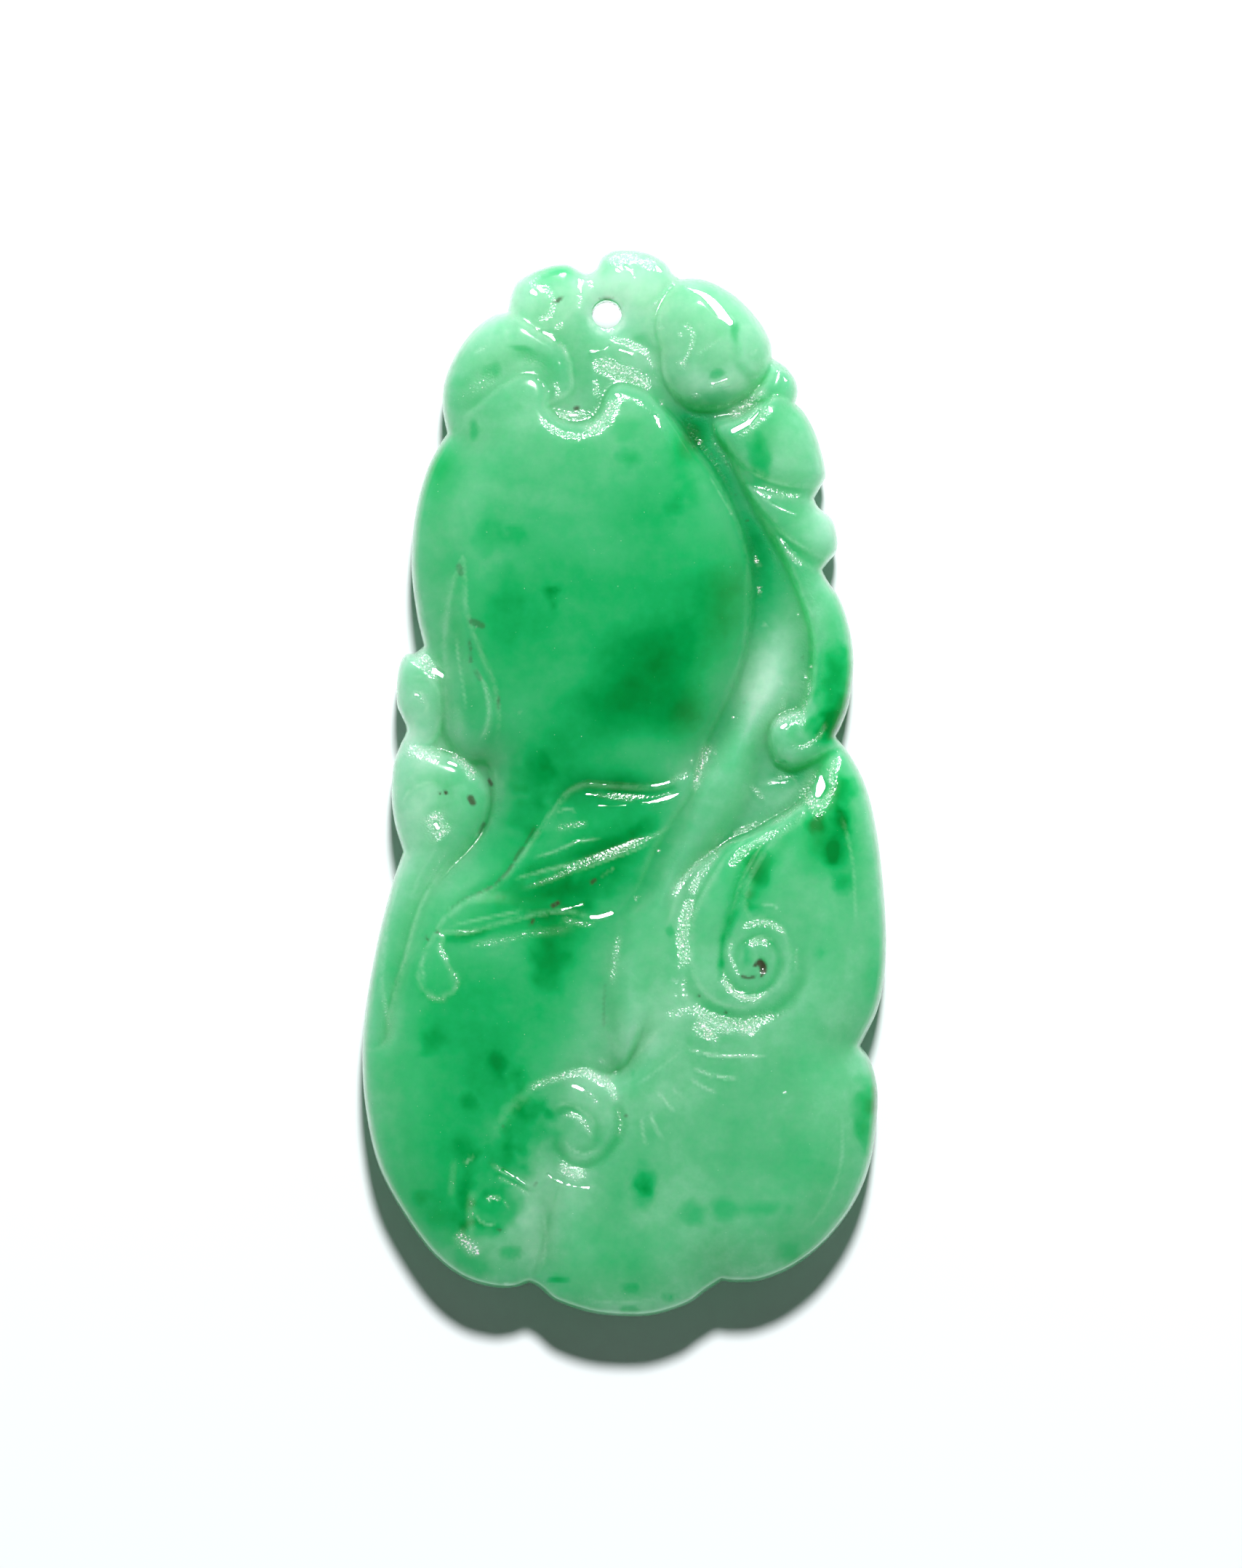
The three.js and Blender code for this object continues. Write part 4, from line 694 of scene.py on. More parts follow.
    stone.sparkling_frost(((-2.5, -14.1), (-2.0, -14.25), (-1.6, -14.5), (-1.3, -14.8), (-1.15, -15.1)), 0.12, 0.6)
    stone.sparkling_frost(((-4.8, -14.4), (-3.5, -13.85), (-2.5, -13.55), (-1.9, -13.45), (-1.1, -13.8), (-0.5, -14.4)),
                0.24, 0.8)
    stone.sparkling_frost(((-1.15, -13.6), (-0.8, -13.9), (-0.5, -14.5), (-0.35, -15.0)), 0.2, 0.9)
    stone.sparkling_frost(((-0.35, -15.0), (-0.15, -15.8), (-0.25, -16.6)), 0.12, 0.6)
    stone.sparkling_frost(((-1.1, -13.1), (-0.95, -12.8)), 0.2, 0.7)
    stone.sparkling_frost(((-2.9, -15.55), (-2.4, -15.5), (-1.95, -15.8), (-1.65, -16.2), (-1.5, -16.6)), 0.12, 0.8)
    stone.painted_highlight_line(((-3.3, -15.15), (-2.8, -14.95), (-2.2, -15.1), (-1.6, -15.6), (-1.25, -16.2)), 0.16, 0.4)
    stone.painted_highlight_line(((-2.75, -16.6), (-2.4, -17.1), (-1.8, -17.28), (-1.2, -17.1)), 0.09, 0.6)
    stone.sparkling_frost(((-3.1, -17.8), (-2.7, -18.1), (-2.3, -18.3), (-1.7, -18.2)), 0.32, 0.85)
    stone.facet(((-3.55, -18.25), (-3.2, -18.52), (-2.8, -18.7)), 0.04)
    stone.facet(((-2.7, -18.74), (-2.2, -18.82), (-1.6, -18.85)), 0.045)
    stone.sparkling_frost(((-3.6, -18.2), (-3.0, -18.65), (-2.2, -18.85), (-1.1, -18.75)), 0.1, 0.6)
    stone.painted_highlight_line(((-6.2, -16.6), (-5.2, -15), (-4, -14.3)), 0.4, 0.14)
    stone.groove(((-4.3, -19.2), (-5, -18.75), (-5.6, -18.3), (-6.2, -18.2)), 0.3, 0.08, matt=0)
    stone.facet(((-5.65, -18.02), (-5.1, -18.35), (-4.6, -18.7)), 0.045)
    stone.sparkling_frost(((-6.3, -17.7), (-5.8, -18.0), (-5.2, -18.3), (-4.7, -18.6), (-4.2, -18.95)), 0.12, 0.85)
    stone.sparkling_frost(((-6.0, -18.3), (-5.3, -18.65), (-4.7, -19.0), (-4.3, -19.35)), 0.09, 0.7)
    stone.groove(coil(-6.1, -19.95, (150, 1.05), (95, 0.9), (58, 0.95), (12, 0.95), (-40, 0.92), (-90, 1),
                      (-140, 0.9), (180, 0.8)), 0.4, 0.07, matt=0)
    stone.knob(-6.15, -19.75, 0.6, 0.02)
    stone.sparkling_frost(((-6.45, -19.45), (-6.1, -19.3), (-5.7, -19.45)), 0.1, 0.95)
    stone.sparkling_frost(((-5.6, -19.4), (-5.35, -19.9)), 0.07, 0.5)
    stone.painted_highlight_line(((-6.9, -20), (-6.7, -20.4), (-6.3, -20.6), (-5.9, -20.5)), 0.09, 0.5)
    stone.sparkling_frost(((-7.0, -18.9), (-7.15, -19.8), (-7.15, -20.8), (-7.25, -21.2)), 0.2, 0.6)
    stone.sparkling_frost(((-7.9, -20.9), (-7.5, -21.3), (-7.1, -21.7), (-6.8, -22.15)), 0.4, 0.98)
    stone.sparkling_frost(((-7.9, -17.5), (-8.0, -18.4), (-8.1, -19.4)), 0.16, 0.4)
    stone.painted_highlight_line(((-7.5, -17.8), (-7.0, -17.4)), 0.08, 0.6)
    stone.groove(((-4.1, -19.1), (-3.7, -20), (-3.55, -21.3), (-3.7, -22.4), (-4.05, -23), (-4.4, -23.6)),
                 0.55, 0.1, matt=0)
    stone.painted_highlight_line(((-4.2, -19.3), (-3.8, -20), (-3.65, -21.3), (-3.8, -22.4), (-4.15, -23)), 0.12, 0.35)
    stone.facet(((-5.5, -23.4), (-5.25, -23.42), (-5.0, -23.4)), 0.07)
    stone.painted_highlight_line(((-0.95, -24.72), (-0.1, -24.8), (0.6, -24.8), (1.3, -24.76)), 0.09, 0.9)
    stone.painted_highlight_line(((-5.7, -23.42), (-5.3, -23.45), (-5.0, -23.4)), 0.1, 0.9)
    for line, strength in ((((2.75, -12.3), (3.6, -12.55), (4.6, -12.7), (6.8, -12.7)), 0.7),
                           (((3.15, -13.25), (3.9, -13.55), (4.6, -13.7), (5.4, -13.77)), 0.7),
                           (((3.0, -13.7), (3.6, -14.1), (4.4, -14.45)), 0.45),
                           (((2.2, -14.2), (2.9, -14.8)), 0.2),
                           (((1.5, -14.3), (2.0, -14.9), (2.4, -15.4)), 0.5),
                           (((1.2, -15.2), (1.4, -15.9), (1.85, -16.7)), 0.5),
                           (((0.8, -15.5), (0.9, -16.4), (1.05, -16.9)), 0.4)):
        stone.crest(line, 0.1, 0.05 * strength, strength)
        stone.sparkling_frost(line, 0.09, 0.8 * strength)
    for line in (((10.1, -15), (10.2, -16.5), (10.1, -17.8), (9.65, -19.2), (9.05, -20.2), (8.2, -21.1)),
                 ((6.9, -22.3), (6.2, -22.65), (5.3, -22.95)),
                 ((2, -24.0), (1, -24.15), (0, -24.25), (-1.3, -24.2), (-2.4, -23.8)),
                 ((10.1, -1.3), (10.45, -2.6), (10.7, -4), (10.85, -7)),
                 ((3, -12.3), (2, -13), (1, -13.8), (0.4, -14.1)),
                 ((1.9, -11.2), (1.3, -11.9), (0.5, -12.8), (0, -13.3))):
        stone.painted_highlight_line(line, 0.12, 0.3)
    stone.form(((6.25, -0.4), (6.35, 0.0), (7, 0.25), (7.8, 0.35), (8.2, 0.0), (7.8, -0.6), (7.2, -1.1),
                (6.6, -0.95)), stone.height + 0.08, 0.6, edge=0.12)
    stone.facet(((6.75, -0.08), (7.2, 0.02), (7.75, 0.12)), 0.03)
    stone.sparkling_frost(((5.9, 0.0), (6.2, -0.4), (6.6, -0.8)), 0.14, 0.75)
    stone.groove(((6.5, 0.5), (7.4, 0.15), (8.2, 0.1), (9, 0.7), (9.6, 1.3)), 0.6, 0.05, matt=0)
    # Painted shade: deeper green in the moat under the curled end
    stone.tint(0.25, 8.0, 0.4, 0.9, 0.35, 30)
    stone.facet(((9.2, 0.3), (9.2, -0.1), (9.08, -0.5)), (0.1, 0.24, 0.16))
    stone.sparkling_frost(((9.3, 0.7), (9.1, 0.1), (8.95, -0.5), (8.7, -1.1)), 0.7, 0.5)
    stone.sparkling_frost(((10.0, 1.4), (9.7, 0.6), (9.6, -0.1), (9.3, -0.8)), 0.26, 0.75)
    stone.sparkling_frost(((9.3, 0.5), (9.15, -0.3), (8.9, -0.8), (8.4, -1.2)), 0.7, 0.98)


def carve_central_leaf(stone):
    """The leaf across the waist, with its valley, veins and hooked end."""
    # Its right side runs into the stalk without a step
    side = curve(((3.4, 0.8), (2.2, -1.8), (1.3, -3.4), (0.6, -5), (-0.4, -6.1)), 0.15)
    right, _ = stone.distance(side, 1.8)
    free = 1 - ease(1.2 - right / 1.5)
    crown = 4.6 + 0.3 * stone.dome(-2, -3, 5, 3) - 0.15 * (1 - free)
    crown += ease((-4.4 - stone.y) / 1.4) * np.maximum(0, stone.height + 0.02 - crown)
    stone.form(((3.2, 0.5), (2.5, 0.2), (1.5, -0.02), (0.3, -0.05), (-0.8, 0.02), (-1.8, 0.05), (-2.7, -0.35),
                (-3.4, -1.2), (-4.1, -2.2), (-5.0, -3.5), (-6.0, -4.6), (-7.4, -5.4), (-8.6, -6.4),
                (-8.7, -6.95), (-7.6, -7.1), (-6.4, -6.85), (-4.6, -6.35), (-2.8, -6.1), (-1.4, -6.4),
                (-0.3, -6.0), (0.6, -5), (1.3, -3.4), (2.2, -1.8), (3.0, -0.6)), crown, 0.55,
               moat=(0.3, 0.01 + 0.08 * free * ease((stone.y + 6.2) / 0.8)), edge=0.05 + 0.2 * free)
    stone.groove(((1.4, -2.1), (-0.5, -2.85), (-2.5, -3.5), (-4, -3.95), (-5.3, -4.6)), (0.5, 0.65, 0.4),
                 0.18, matt=0)
    stone.ridge(((1.9, -2.2), (0, -3.1), (-2, -3.85), (-4.2, -4.8), (-5.6, -5.3)), 0.4, 0.05)
    stone.sparkling_frost(((2.6, -1.7), (1.4, -2.45), (0, -3.1), (-1, -3.45), (-2, -3.85), (-3, -4.3), (-4.2, -4.75),
                 (-5, -5.0)), 0.12, 0.75)
    stone.painted_highlight_line(((1.4, -2.7), (0.4, -3.15), (-1, -3.65), (-2.4, -4.2)), 0.08, 0.5)
    stone.facet(((-1.7, 0.02), (-1.2, -0.03), (-0.8, -0.06)), 0.05)
    stone.facet(((-0.7, -0.08), (0.3, -0.12), (1.2, -0.12)), 0.025)
    stone.facet(((1.3, -0.1), (1.7, -0.05), (2.1, 0.05)), 0.08)
    stone.sparkling_frost(((1.2, -0.15), (2.0, 0.0), (2.6, 0.35), (3.2, 0.7)), 0.16, 0.8)
    stone.facet(((-1.75, -0.5), (-1.5, -0.52), (-1.3, -0.55)), 0.05)
    stone.sparkling_frost(((-1.8, -0.45), (-0.8, -0.6), (0.6, -0.85)), 0.1, 0.5)
    stone.facet(((0.8, -0.88), (1.3, -0.86), (1.8, -0.76), (2.2, -0.64), (2.55, -0.48)),
                (0.03, 0.06, 0.09, 0.09, 0.05))
    stone.groove(((2.6, -0.1), (1.5, -0.45), (0.2, -0.42), (-1, -0.3)), 0.3, 0.12, matt=0)
    stone.facet(((-1.2, -1.0), (-0.5, -1.06), (0.1, -1.05)), 0.03)
    stone.painted_highlight_line(((-3.2, -1.35), (-2.7, -1.2), (-2.2, -1.3)), 0.09, 0.5)
    stone.sparkling_frost(((-3.3, -2.15), (-2.3, -1.95), (-1.6, -1.85)), 0.16, 0.55)
    stone.facet(((-2.4, -2.8), (-1.8, -2.65), (-1.0, -2.58)), 0.03)
    stone.crest(((-4.3, -3.5), (-3.3, -3.2), (-2.2, -2.75), (-1, -2.55)), 0.1, 0.05)
    stone.painted_highlight_line(((-2.1, -2.65), (-1.3, -2.65)), 0.08, 0.4)
    stone.painted_highlight_line(((-5.2, -4.5), (-4.4, -4.25), (-3.4, -4.0), (-2.4, -3.75)), 0.1, 0.4)
    stone.groove(((-0.2, -3.8), (-1, -4.3), (-1.6, -4.8)), 0.25, 0.05, matt=0)
    stone.painted_highlight_line(((-0.4, -3.9), (-1.1, -4.4)), 0.07, 0.3)
    stone.facet(((-2.9, -5.93), (-2.4, -5.78), (-1.9, -5.6)), 0.045)
    stone.facet(((-1.5, -6.25), (-1.1, -6.22), (-0.6, -6.05)), 0.1)
    stone.sparkling_frost(((-1.65, -6.3), (-1.1, -6.25), (-0.5, -6.0)), 0.16, 0.9)
    stone.sparkling_frost(((-3.0, -6.3), (-1.9, -6.55), (-1.2, -6.5)), 0.16, 0.5)
    stone.groove(((-8.4, -7.3), (-7, -7.2), (-6, -6.85), (-4.5, -6.5), (-3.2, -6.1)), 0.5, 0.02, 0.2, matt=0)
    stone.sparkling_frost(((-7.7, -7.6), (-6, -7.4), (-4.6, -7.05), (-3.4, -6.9), (-2, -6.7)), 0.2, 0.35)
    # Painted shade: deeper green in the groove under the leaf's lower edge
    stone.tint(0.2, -6.8, -7.0, 1.4, 0.25, 8)
    stone.sparkling_frost(((-8.1, -6.93), (-7.3, -6.9), (-6.7, -6.86)), 0.1, 0.6)
    stone.painted_highlight_line(((-8.3, -6.7), (-6.5, -6.3), (-4.5, -5.9)), 0.12, 0.35)
    stone.form(((-8.8, -6.9), (-9.25, -7.6), (-9.6, -8.4), (-9.7, -9.1), (-9.4, -9.7), (-8.8, -10.1),
                (-8.3, -10), (-7.8, -9.7), (-7.9, -8.9), (-8.2, -8.2), (-8.5, -7.7), (-8.3, -7.2)),
               stone.height + 0.1, 0.5, moat=(0.25, 0.04), edge=0.2)
    stone.sparkling_frost(((-8.5, -7.3), (-8.5, -7.8), (-8.2, -8.3)), 0.12, 0.7)
    stone.sparkling_frost(((-7.9, -8.7), (-7.75, -9.3), (-7.9, -9.7)), 0.12, 0.5)
    stone.sparkling_frost(((-9.3, -9.85), (-8.8, -10.05), (-8.2, -10.05)), 0.12, 0.8)
    stone.painted_highlight_line(((-9.3, -7.9), (-9.4, -8.6), (-9.25, -9.3)), 0.09, 0.4)


def carve_hole(stone):
    """The drilled hole's lip painted pale as painted light, wider on its lower side, and a dark mark along
    its upper edge.
    """
    lip = np.hypot(stone.x - HOLE_PLACE[0], stone.y - HOLE_PLACE[1] + 0.13)
    below = ease((22.1 - stone.y) / 0.6)
    stone.pale = np.maximum(stone.pale, 0.8 * np.exp(-((lip - 0.82) / 0.12) ** 2) * below)
    stone.speck(((-1.15, 22.62), (-0.9, 22.68), (-0.55, 22.66)), 0.04, 0.5)


# Where the green runs through the stone: amount, place, half width and half height, and turn in degrees.
# Clouds fade out softly, and patches have ragged edges.
CLOUDS = {
    "whole stone": ((0.22, -1, 9, 8, 7), (-0.08, -4, 17, 5, 2), (0.07, 1, 18, 3, 1.2), (0.12, 2, 11, 3, 3)),
    # The upper gourd's cloud at the waist, left of the leaf, is painted shade
    "upper gourd": ((0.55, 1.4, 5.2, 5, 2.6, 38), (0.2, -4.5, 8, 2.6, 1.8), (0.2, 4.8, 9.5, 1.3, 2.4),
                    (0.35, -3.2, 0.6, 1.6, 2.6, 20), (0.2, 3, 15, 1.5, 1.2), (0.2, -6, 5.6, 1.4, 2.8),
                    (0.16, 0, 0.2, 1.6, 0.8), (0.16, -9, 15, 1.2, 1.4)),
    "valley beside the gourd": ((0.55, 3.2, 16.2, 0.7, 1.3, -35), (0.35, 4.6, 14.4, 0.6, 1.6, 25),
                                (0.35, 6.2, 11.4, 0.6, 1.4, 25), (0.2, 6.3, 9.3, 0.8, 1.6),
                                (-0.2, 6.8, 5.2, 1.0, 2.4), (-0.12, 9.5, 8.4, 0.8, 1.4)),
    "central leaf": ((0.4, -2.6, -4.6, 3.6, 1.7, 22), (0.4, 0, -2.6, 2.2, 1.4, 22), (0.2, -0.4, -0.8, 2.2, 1),
                     (0.2, -4.8, -2.6, 1.6, 1.4), (0.16, -6, -6, 1.8, 1.4)),
    "lower gourd": ((0.42, -3.2, -8, 1.6, 2.2), (0.4, -6.6, -13.6, 3.3, 4.6, 10), (0.12, -8.5, -11, 2, 4),
                    (0.3, -8.2, -18, 1.4, 2.4, 30), (0.2, -9.2, -19.5, 1.4, 2.0, 40), (0.15, -5, -11, 2, 1.5),
                    (0.2, -2.4, -6.8, 2, 1)),
    "fungus": ((-0.2, -2, -14, 1.6, 1.6), (-0.18, -3, -18, 2, 1.4), (-0.2, -4.2, -20.8, 1.0, 2.4),
               (-0.1, 1.6, -10.5, 1.6, 2.5), (-0.12, 4.6, -11.2, 2, 1.0), (0.15, 0, -22.5, 1.4, 1.4),
               (-0.1, 3.5, -21.5, 1.4, 1.4), (0.32, 10, -2.2, 0.9, 2.4, 5), (0.15, 8.8, -2.4, 1, 1.2),
               (0.14, 6, -4.6, 1.2, 2), (0.14, 9, -18, 1.6, 2), (0.2, 12, -9, 0.8, 2.4)),
    "side scrolls": ((-0.24, -9.6, 3.5, 1.2, 3), (-0.22, -9.6, -1.5, 1.4, 3), (0.03, -8.8, -3.4, 1.6, 1.6),
                     (0.14, -6, -3, 1.4, 1.4)),
    # Paler stone, and painted light on the shaded lower side of the bud and on the valley's left wall
    "paler stone and painted light": ((-0.32, 6.1, 4.6, 1, 2.4), (-0.15, 7.6, 6.6, 1, 2), (-0.25, 3.4, 18.5, 1.2, 1),
                    (-0.2, 5.2, 18.7, 1, 0.8), (-0.15, 9.2, 12, 1, 1.6), (-0.1, 3, -15, 2, 2),
                    (-0.1, -6, -21, 1.4, 1.2), (-0.07, 0.3, -12, 1.4, 1.2)),
    "green places": ((0.3, 9.1, -2.8, 1, 1.4), (0.35, 3, 3, 1.4, 1.2), (0.08, -3, -6.2, 1.4, 0.8),
                     (0.22, 0, 0, 1.5, 1), (0.15, 0, 3.4, 1.4, 1.4), (0.1, 6, -18, 2.4, 1.2),
                     (0.1, -6, -9, 1.4, 1.2), (0.12, 6, -4.5, 1.4, 2.4), (0.12, 12, -9, 0.8, 2),
                     (0.3, -9, 15, 1, 1.6), (0.3, 2.7, 17.1, 0.7, 0.4, -40), (0.3, -3, 24, 1.2, 0.5)),
    "top": ((-0.35, -4, 22.7, 2.4, 1.4), (-0.4, 0, 23.4, 2.2, 1.3), (-0.25, 4.2, 21.2, 2.6, 2.2),
            (-0.15, -5.8, 20.4, 2.2, 1.4), (-0.2, 0, 20.6, 1.8, 1.6), (-0.12, 7.8, 15.6, 1.4, 1.6),
            (-0.2, 9.2, 11.5, 0.9, 1.2)),
}
PATCHES = {
    "third leaf lobe": ((0.45, 9.9, 4.6, 0.9, 1.8, -12), (0.15, 10.1, 3.6, 0.5, 1.0, -25),
                        (0.15, 10.1, 3.3, 0.35, 0.6, -25), (0.2, 9.1, 2.6, 0.6, 0.5)),
    "fungus shoulder": ((0.4, 10, -0.5, 0.5, 0.75), (0.35, 10.1, -1.6, 0.5, 0.7), (0.5, 9.1, -1.9, 0.45, 0.4),
                        (0.25, 9.0, -2.0, 0.35, 0.25), (0.15, 9.7, -3.2, 0.3, 0.5),
                        (0.1, 9.7, -3.3, 0.18, 0.4), (0.15, 10.1, -2.6, 0.5, 1.4),
                        (0.3, 10.2, -4.6, 0.4, 0.5)),
    # Painted shade: deeper green in the recess inside the fungus's rolled edge
    "painted shade in the fungus hollow": ((0.3, 6.3, -3.8, 0.5, 0.7), (0.25, 5.9, -5.2, 0.3, 0.35), (0.25, 6.0, -5.8, 0.4, 0.2)),
    "right spiral": ((0.35, 4.95, -6.6, 0.25, 0.7, -25), (0.35, 4.55, -8.0, 0.15, 0.9, -4),
                     (0.25, 5.7, -7.9, 0.3, 0.5)),
    "right edge": ((0.5, 11.6, -15.6, 0.6, 1.6), (0.3, 11.8, -14.8, 0.3, 0.8)),
    "fan": ((0.4, 1.0, -18.5, 0.5, 0.5), (0.2, 0.9, -19.2, 0.4, 0.6), (0.45, -3.1, -23.2, 0.45, 0.14),
            (0.3, 0.3, -23.6, 0.3, 0.25), (0.25, 2.2, -24.0, 0.25, 0.12), (0.25, 0.3, -24.6, 0.4, 0.15),
            (0.2, 3.3, -20.0, 0.6, 0.4), (0.2, 4.6, -19.9, 0.5, 0.4), (0.2, 6.6, -19.8, 0.7, 0.35),
            (0.2, 7.7, -22, 0.6, 0.3), (0.2, 0.4, -13.5, 0.12, 0.2), (0.25, 2.15, -6.9, 0.15, 0.2),
            (0.12, 9.1, -7.9, 0.2, 0.2)),
    "left spiral": ((0.3, -4.6, -16.2, 1.0, 1.5, 12), (0.15, -4.4, -15.2, 0.5, 0.45),
                    (0.3, -3.5, -15.5, 0.3, 0.25), (0.2, -5.1, -17.8, 1.0, 0.8)),
    "lower left spiral": ((0.3, -5.9, -19.9, 0.75, 0.85), (0.2, -6.5, -20.9, 0.8, 0.35, -20),
                          (0.25, -5.3, -21.9, 0.4, 0.25), (0.3, -7.4, -19.3, 0.35, 1.4, -8)),
    "lower gourd": ((0.25, -5.9, -13.1, 0.25, 0.4), (0.2, -7.2, -14.8, 0.3, 0.3),
                    (0.2, -7.4, -17.0, 0.5, 0.6), (0.2, -9.6, -19.4, 0.35, 0.4),
                    (0.12, -8.6, -20.6, 0.9, 0.7, -35), (0.2, -7.4, -22.4, 0.7, 0.5),
                    (0.2, -3.6, -8.6, 0.7, 1.2, -15), (0.2, -7.3, -7.1, 0.9, 0.25, 12),
                    (0.2, -9.0, -12, 0.5, 0.5)),
    "upper gourd": ((0.3, -3.3, 9.0, 0.5, 0.28), (0.2, -3.3, 8.4, 0.2, 0.6), (0.2, -5, 11.5, 0.5, 0.4),
                    (0.25, -7.0, 16.5, 0.14, 0.3), (0.15, -5.3, 9.2, 0.9, 0.8), (0.15, -6.2, 11.6, 0.7, 0.7),
                    (0.2, 0.2, 15.2, 0.5, 0.3), (0.15, 0.1, 16.6, 0.6, 0.5), (0.2, 2.4, 13.3, 0.6, 1.1, -30),
                    (0.2, -4.2, 0.2, 0.9, 0.9), (0.2, -4.6, -1.3, 0.8, 0.9, 25)),
    "central leaf": ((0.12, -3.6, -4.9, 1.3, 0.45, 20), (0.15, -1.0, -4.6, 1.5, 0.7, 20),
                     (0.15, 0.8, -2.0, 0.7, 0.3, 20), (0.1, -2.6, -6.0, 1.2, 0.2, 10)),
    "top": ((0.12, 3.4, 16.6, 0.3, 0.35), (0.3, 6.3, 15.1, 0.35, 0.8, 10), (0.3, 4.4, 19.1, 0.35, 0.15, 15),
            (0.25, 5.2, 20.9, 0.2, 0.4), (0.2, 4.2, 18.0, 1.1, 0.35), (0.2, -6.2, 19.3, 0.4, 0.25, 30),
            (0.2, -4.8, 20.3, 0.5, 0.12, -10), (0.15, 0.8, 20.7, 0.6, 0.2, -30)),
}
# Dark marks in the stone and in its pits and cuts: half width, amount, and the line each runs along
SPECKS = (
    (0.11, 0.85, (-2.25, 17.5), (-2.15, 17.52)), (0.04, 0.5, (-3.35, 22.45), (-3.0, 22.6), (-2.85, 22.75)),
    (0.1, 0.7, (-3.1, 22.55), (-2.95, 22.65)), (0.13, 0.9, (-3.3, -5.7), (-3.1, -5.6)),
    (0.08, 0.8, (-4.3, -6.5), (-4.25, -6.4)), (0.09, 0.75, (-1.5, -4.62), (-1.35, -4.5)),
    (0.05, 0.8, (0.3, -2.66), (0.35, -2.62)), (0.045, 0.8, (0.78, -2.56), (0.82, -2.54)),
    (0.17, 0.85, (-7.15, -0.7), (-7.05, -0.9)), (0.08, 0.95, (-8.35, -0.42), (-8.3, -0.45)),
    (0.05, 0.9, (-8.6, -0.46), (-8.57, -0.46)), (0.07, 0.8, (-6.3, 0.15), (-6.2, -0.05)),
    (0.05, 0.5, (-5.85, 3.9), (-5.85, 3.5)), (0.07, 0.4, (-7.2, 6.6), (-7.15, 6.2)),
    (0.08, 0.4, (-7.15, 5.9), (-7.15, 5.7)), (0.09, 0.5, (-6.55, -1.9), (-6.75, -2.3)),
    (0.14, 0.35, (-7.7, 10.1), (-7.6, 9.8)), (0.13, 0.45, (-7.1, 7.55), (-6.6, 7.35)),
    (0.07, 0.6, (-8.75, -6.95), (-8.65, -6.95)), (0.06, 0.6, (-9.2, -7.25), (-9.15, -7.3)),
    (0.06, 0.3, (-4.2, -2.1), (-4.6, -2.8)), (0.09, 0.4, (-4.7, -3.0), (-5.0, -3.4), (-5.1, -3.6)),
    (0.07, 0.4, (-5.2, -3.8), (-5.5, -4.2), (-5.8, -4.5)),
    (0.06, 0.35, (-5.9, -4.6), (-6.3, -4.9), (-6.9, -5.15)),
    (0.05, 0.25, (-7.0, -5.2), (-7.5, -5.4), (-8.2, -5.9)),
    (0.05, 0.25, (-0.9, -9.4), (-0.92, -10.3), (-0.95, -11.2)),
    (0.17, 0.95, (6.35, -8.35), (6.5, -8.5), (6.5, -8.75)), (0.08, 0.85, (6.3, -8.3), (6.1, -8.5)),
    (0.07, 0.9, (6.5, -8.8), (6.4, -9.0)), (0.07, 0.8, (5.5, -9.0), (5.8, -9.08), (6.05, -9.02)),
    (0.055, 0.9, (3.5, -9.9), (3.52, -9.9)), (0.06, 0.9, (4.74, -10.68), (4.76, -10.68)),
    (0.05, 0.6, (-5.8, -20.85), (-5.75, -20.85)), (0.06, 0.4, (4.1, 15.4), (4.15, 15.35)),
    (0.045, 0.7, (4.75, 14.95), (4.78, 14.95)), (0.04, 0.8, (5.75, 12.3), (5.77, 12.3)),
    (0.04, 0.7, (5.2, 13.5), (5.22, 13.5)), (0.045, 0.6, (6.1, 4.55), (6.12, 4.55)),
    (0.045, 0.6, (5.65, 3.75), (5.67, 3.75)), (0.045, 0.6, (6.1, 1.1), (6.12, 1.1)),
    (0.05, 0.6, (8.4, 5.9), (8.42, 5.9)), (0.04, 0.6, (-8.7, -23.3), (-8.68, -23.3)),
    (0.04, 0.6, (-5.7, -16.0), (-5.68, -16.0)), (0.04, 0.6, (0.05, -15.5), (0.07, -15.5)),
    (0.07, 0.35, (-4.15, -18.7), (-4.1, -18.65)), (0.07, 0.3, (9.7, 9.2), (9.3, 9.9)),
    (0.12, 0.3, (-6.9, 5.2), (-6.7, 4.9)),
)
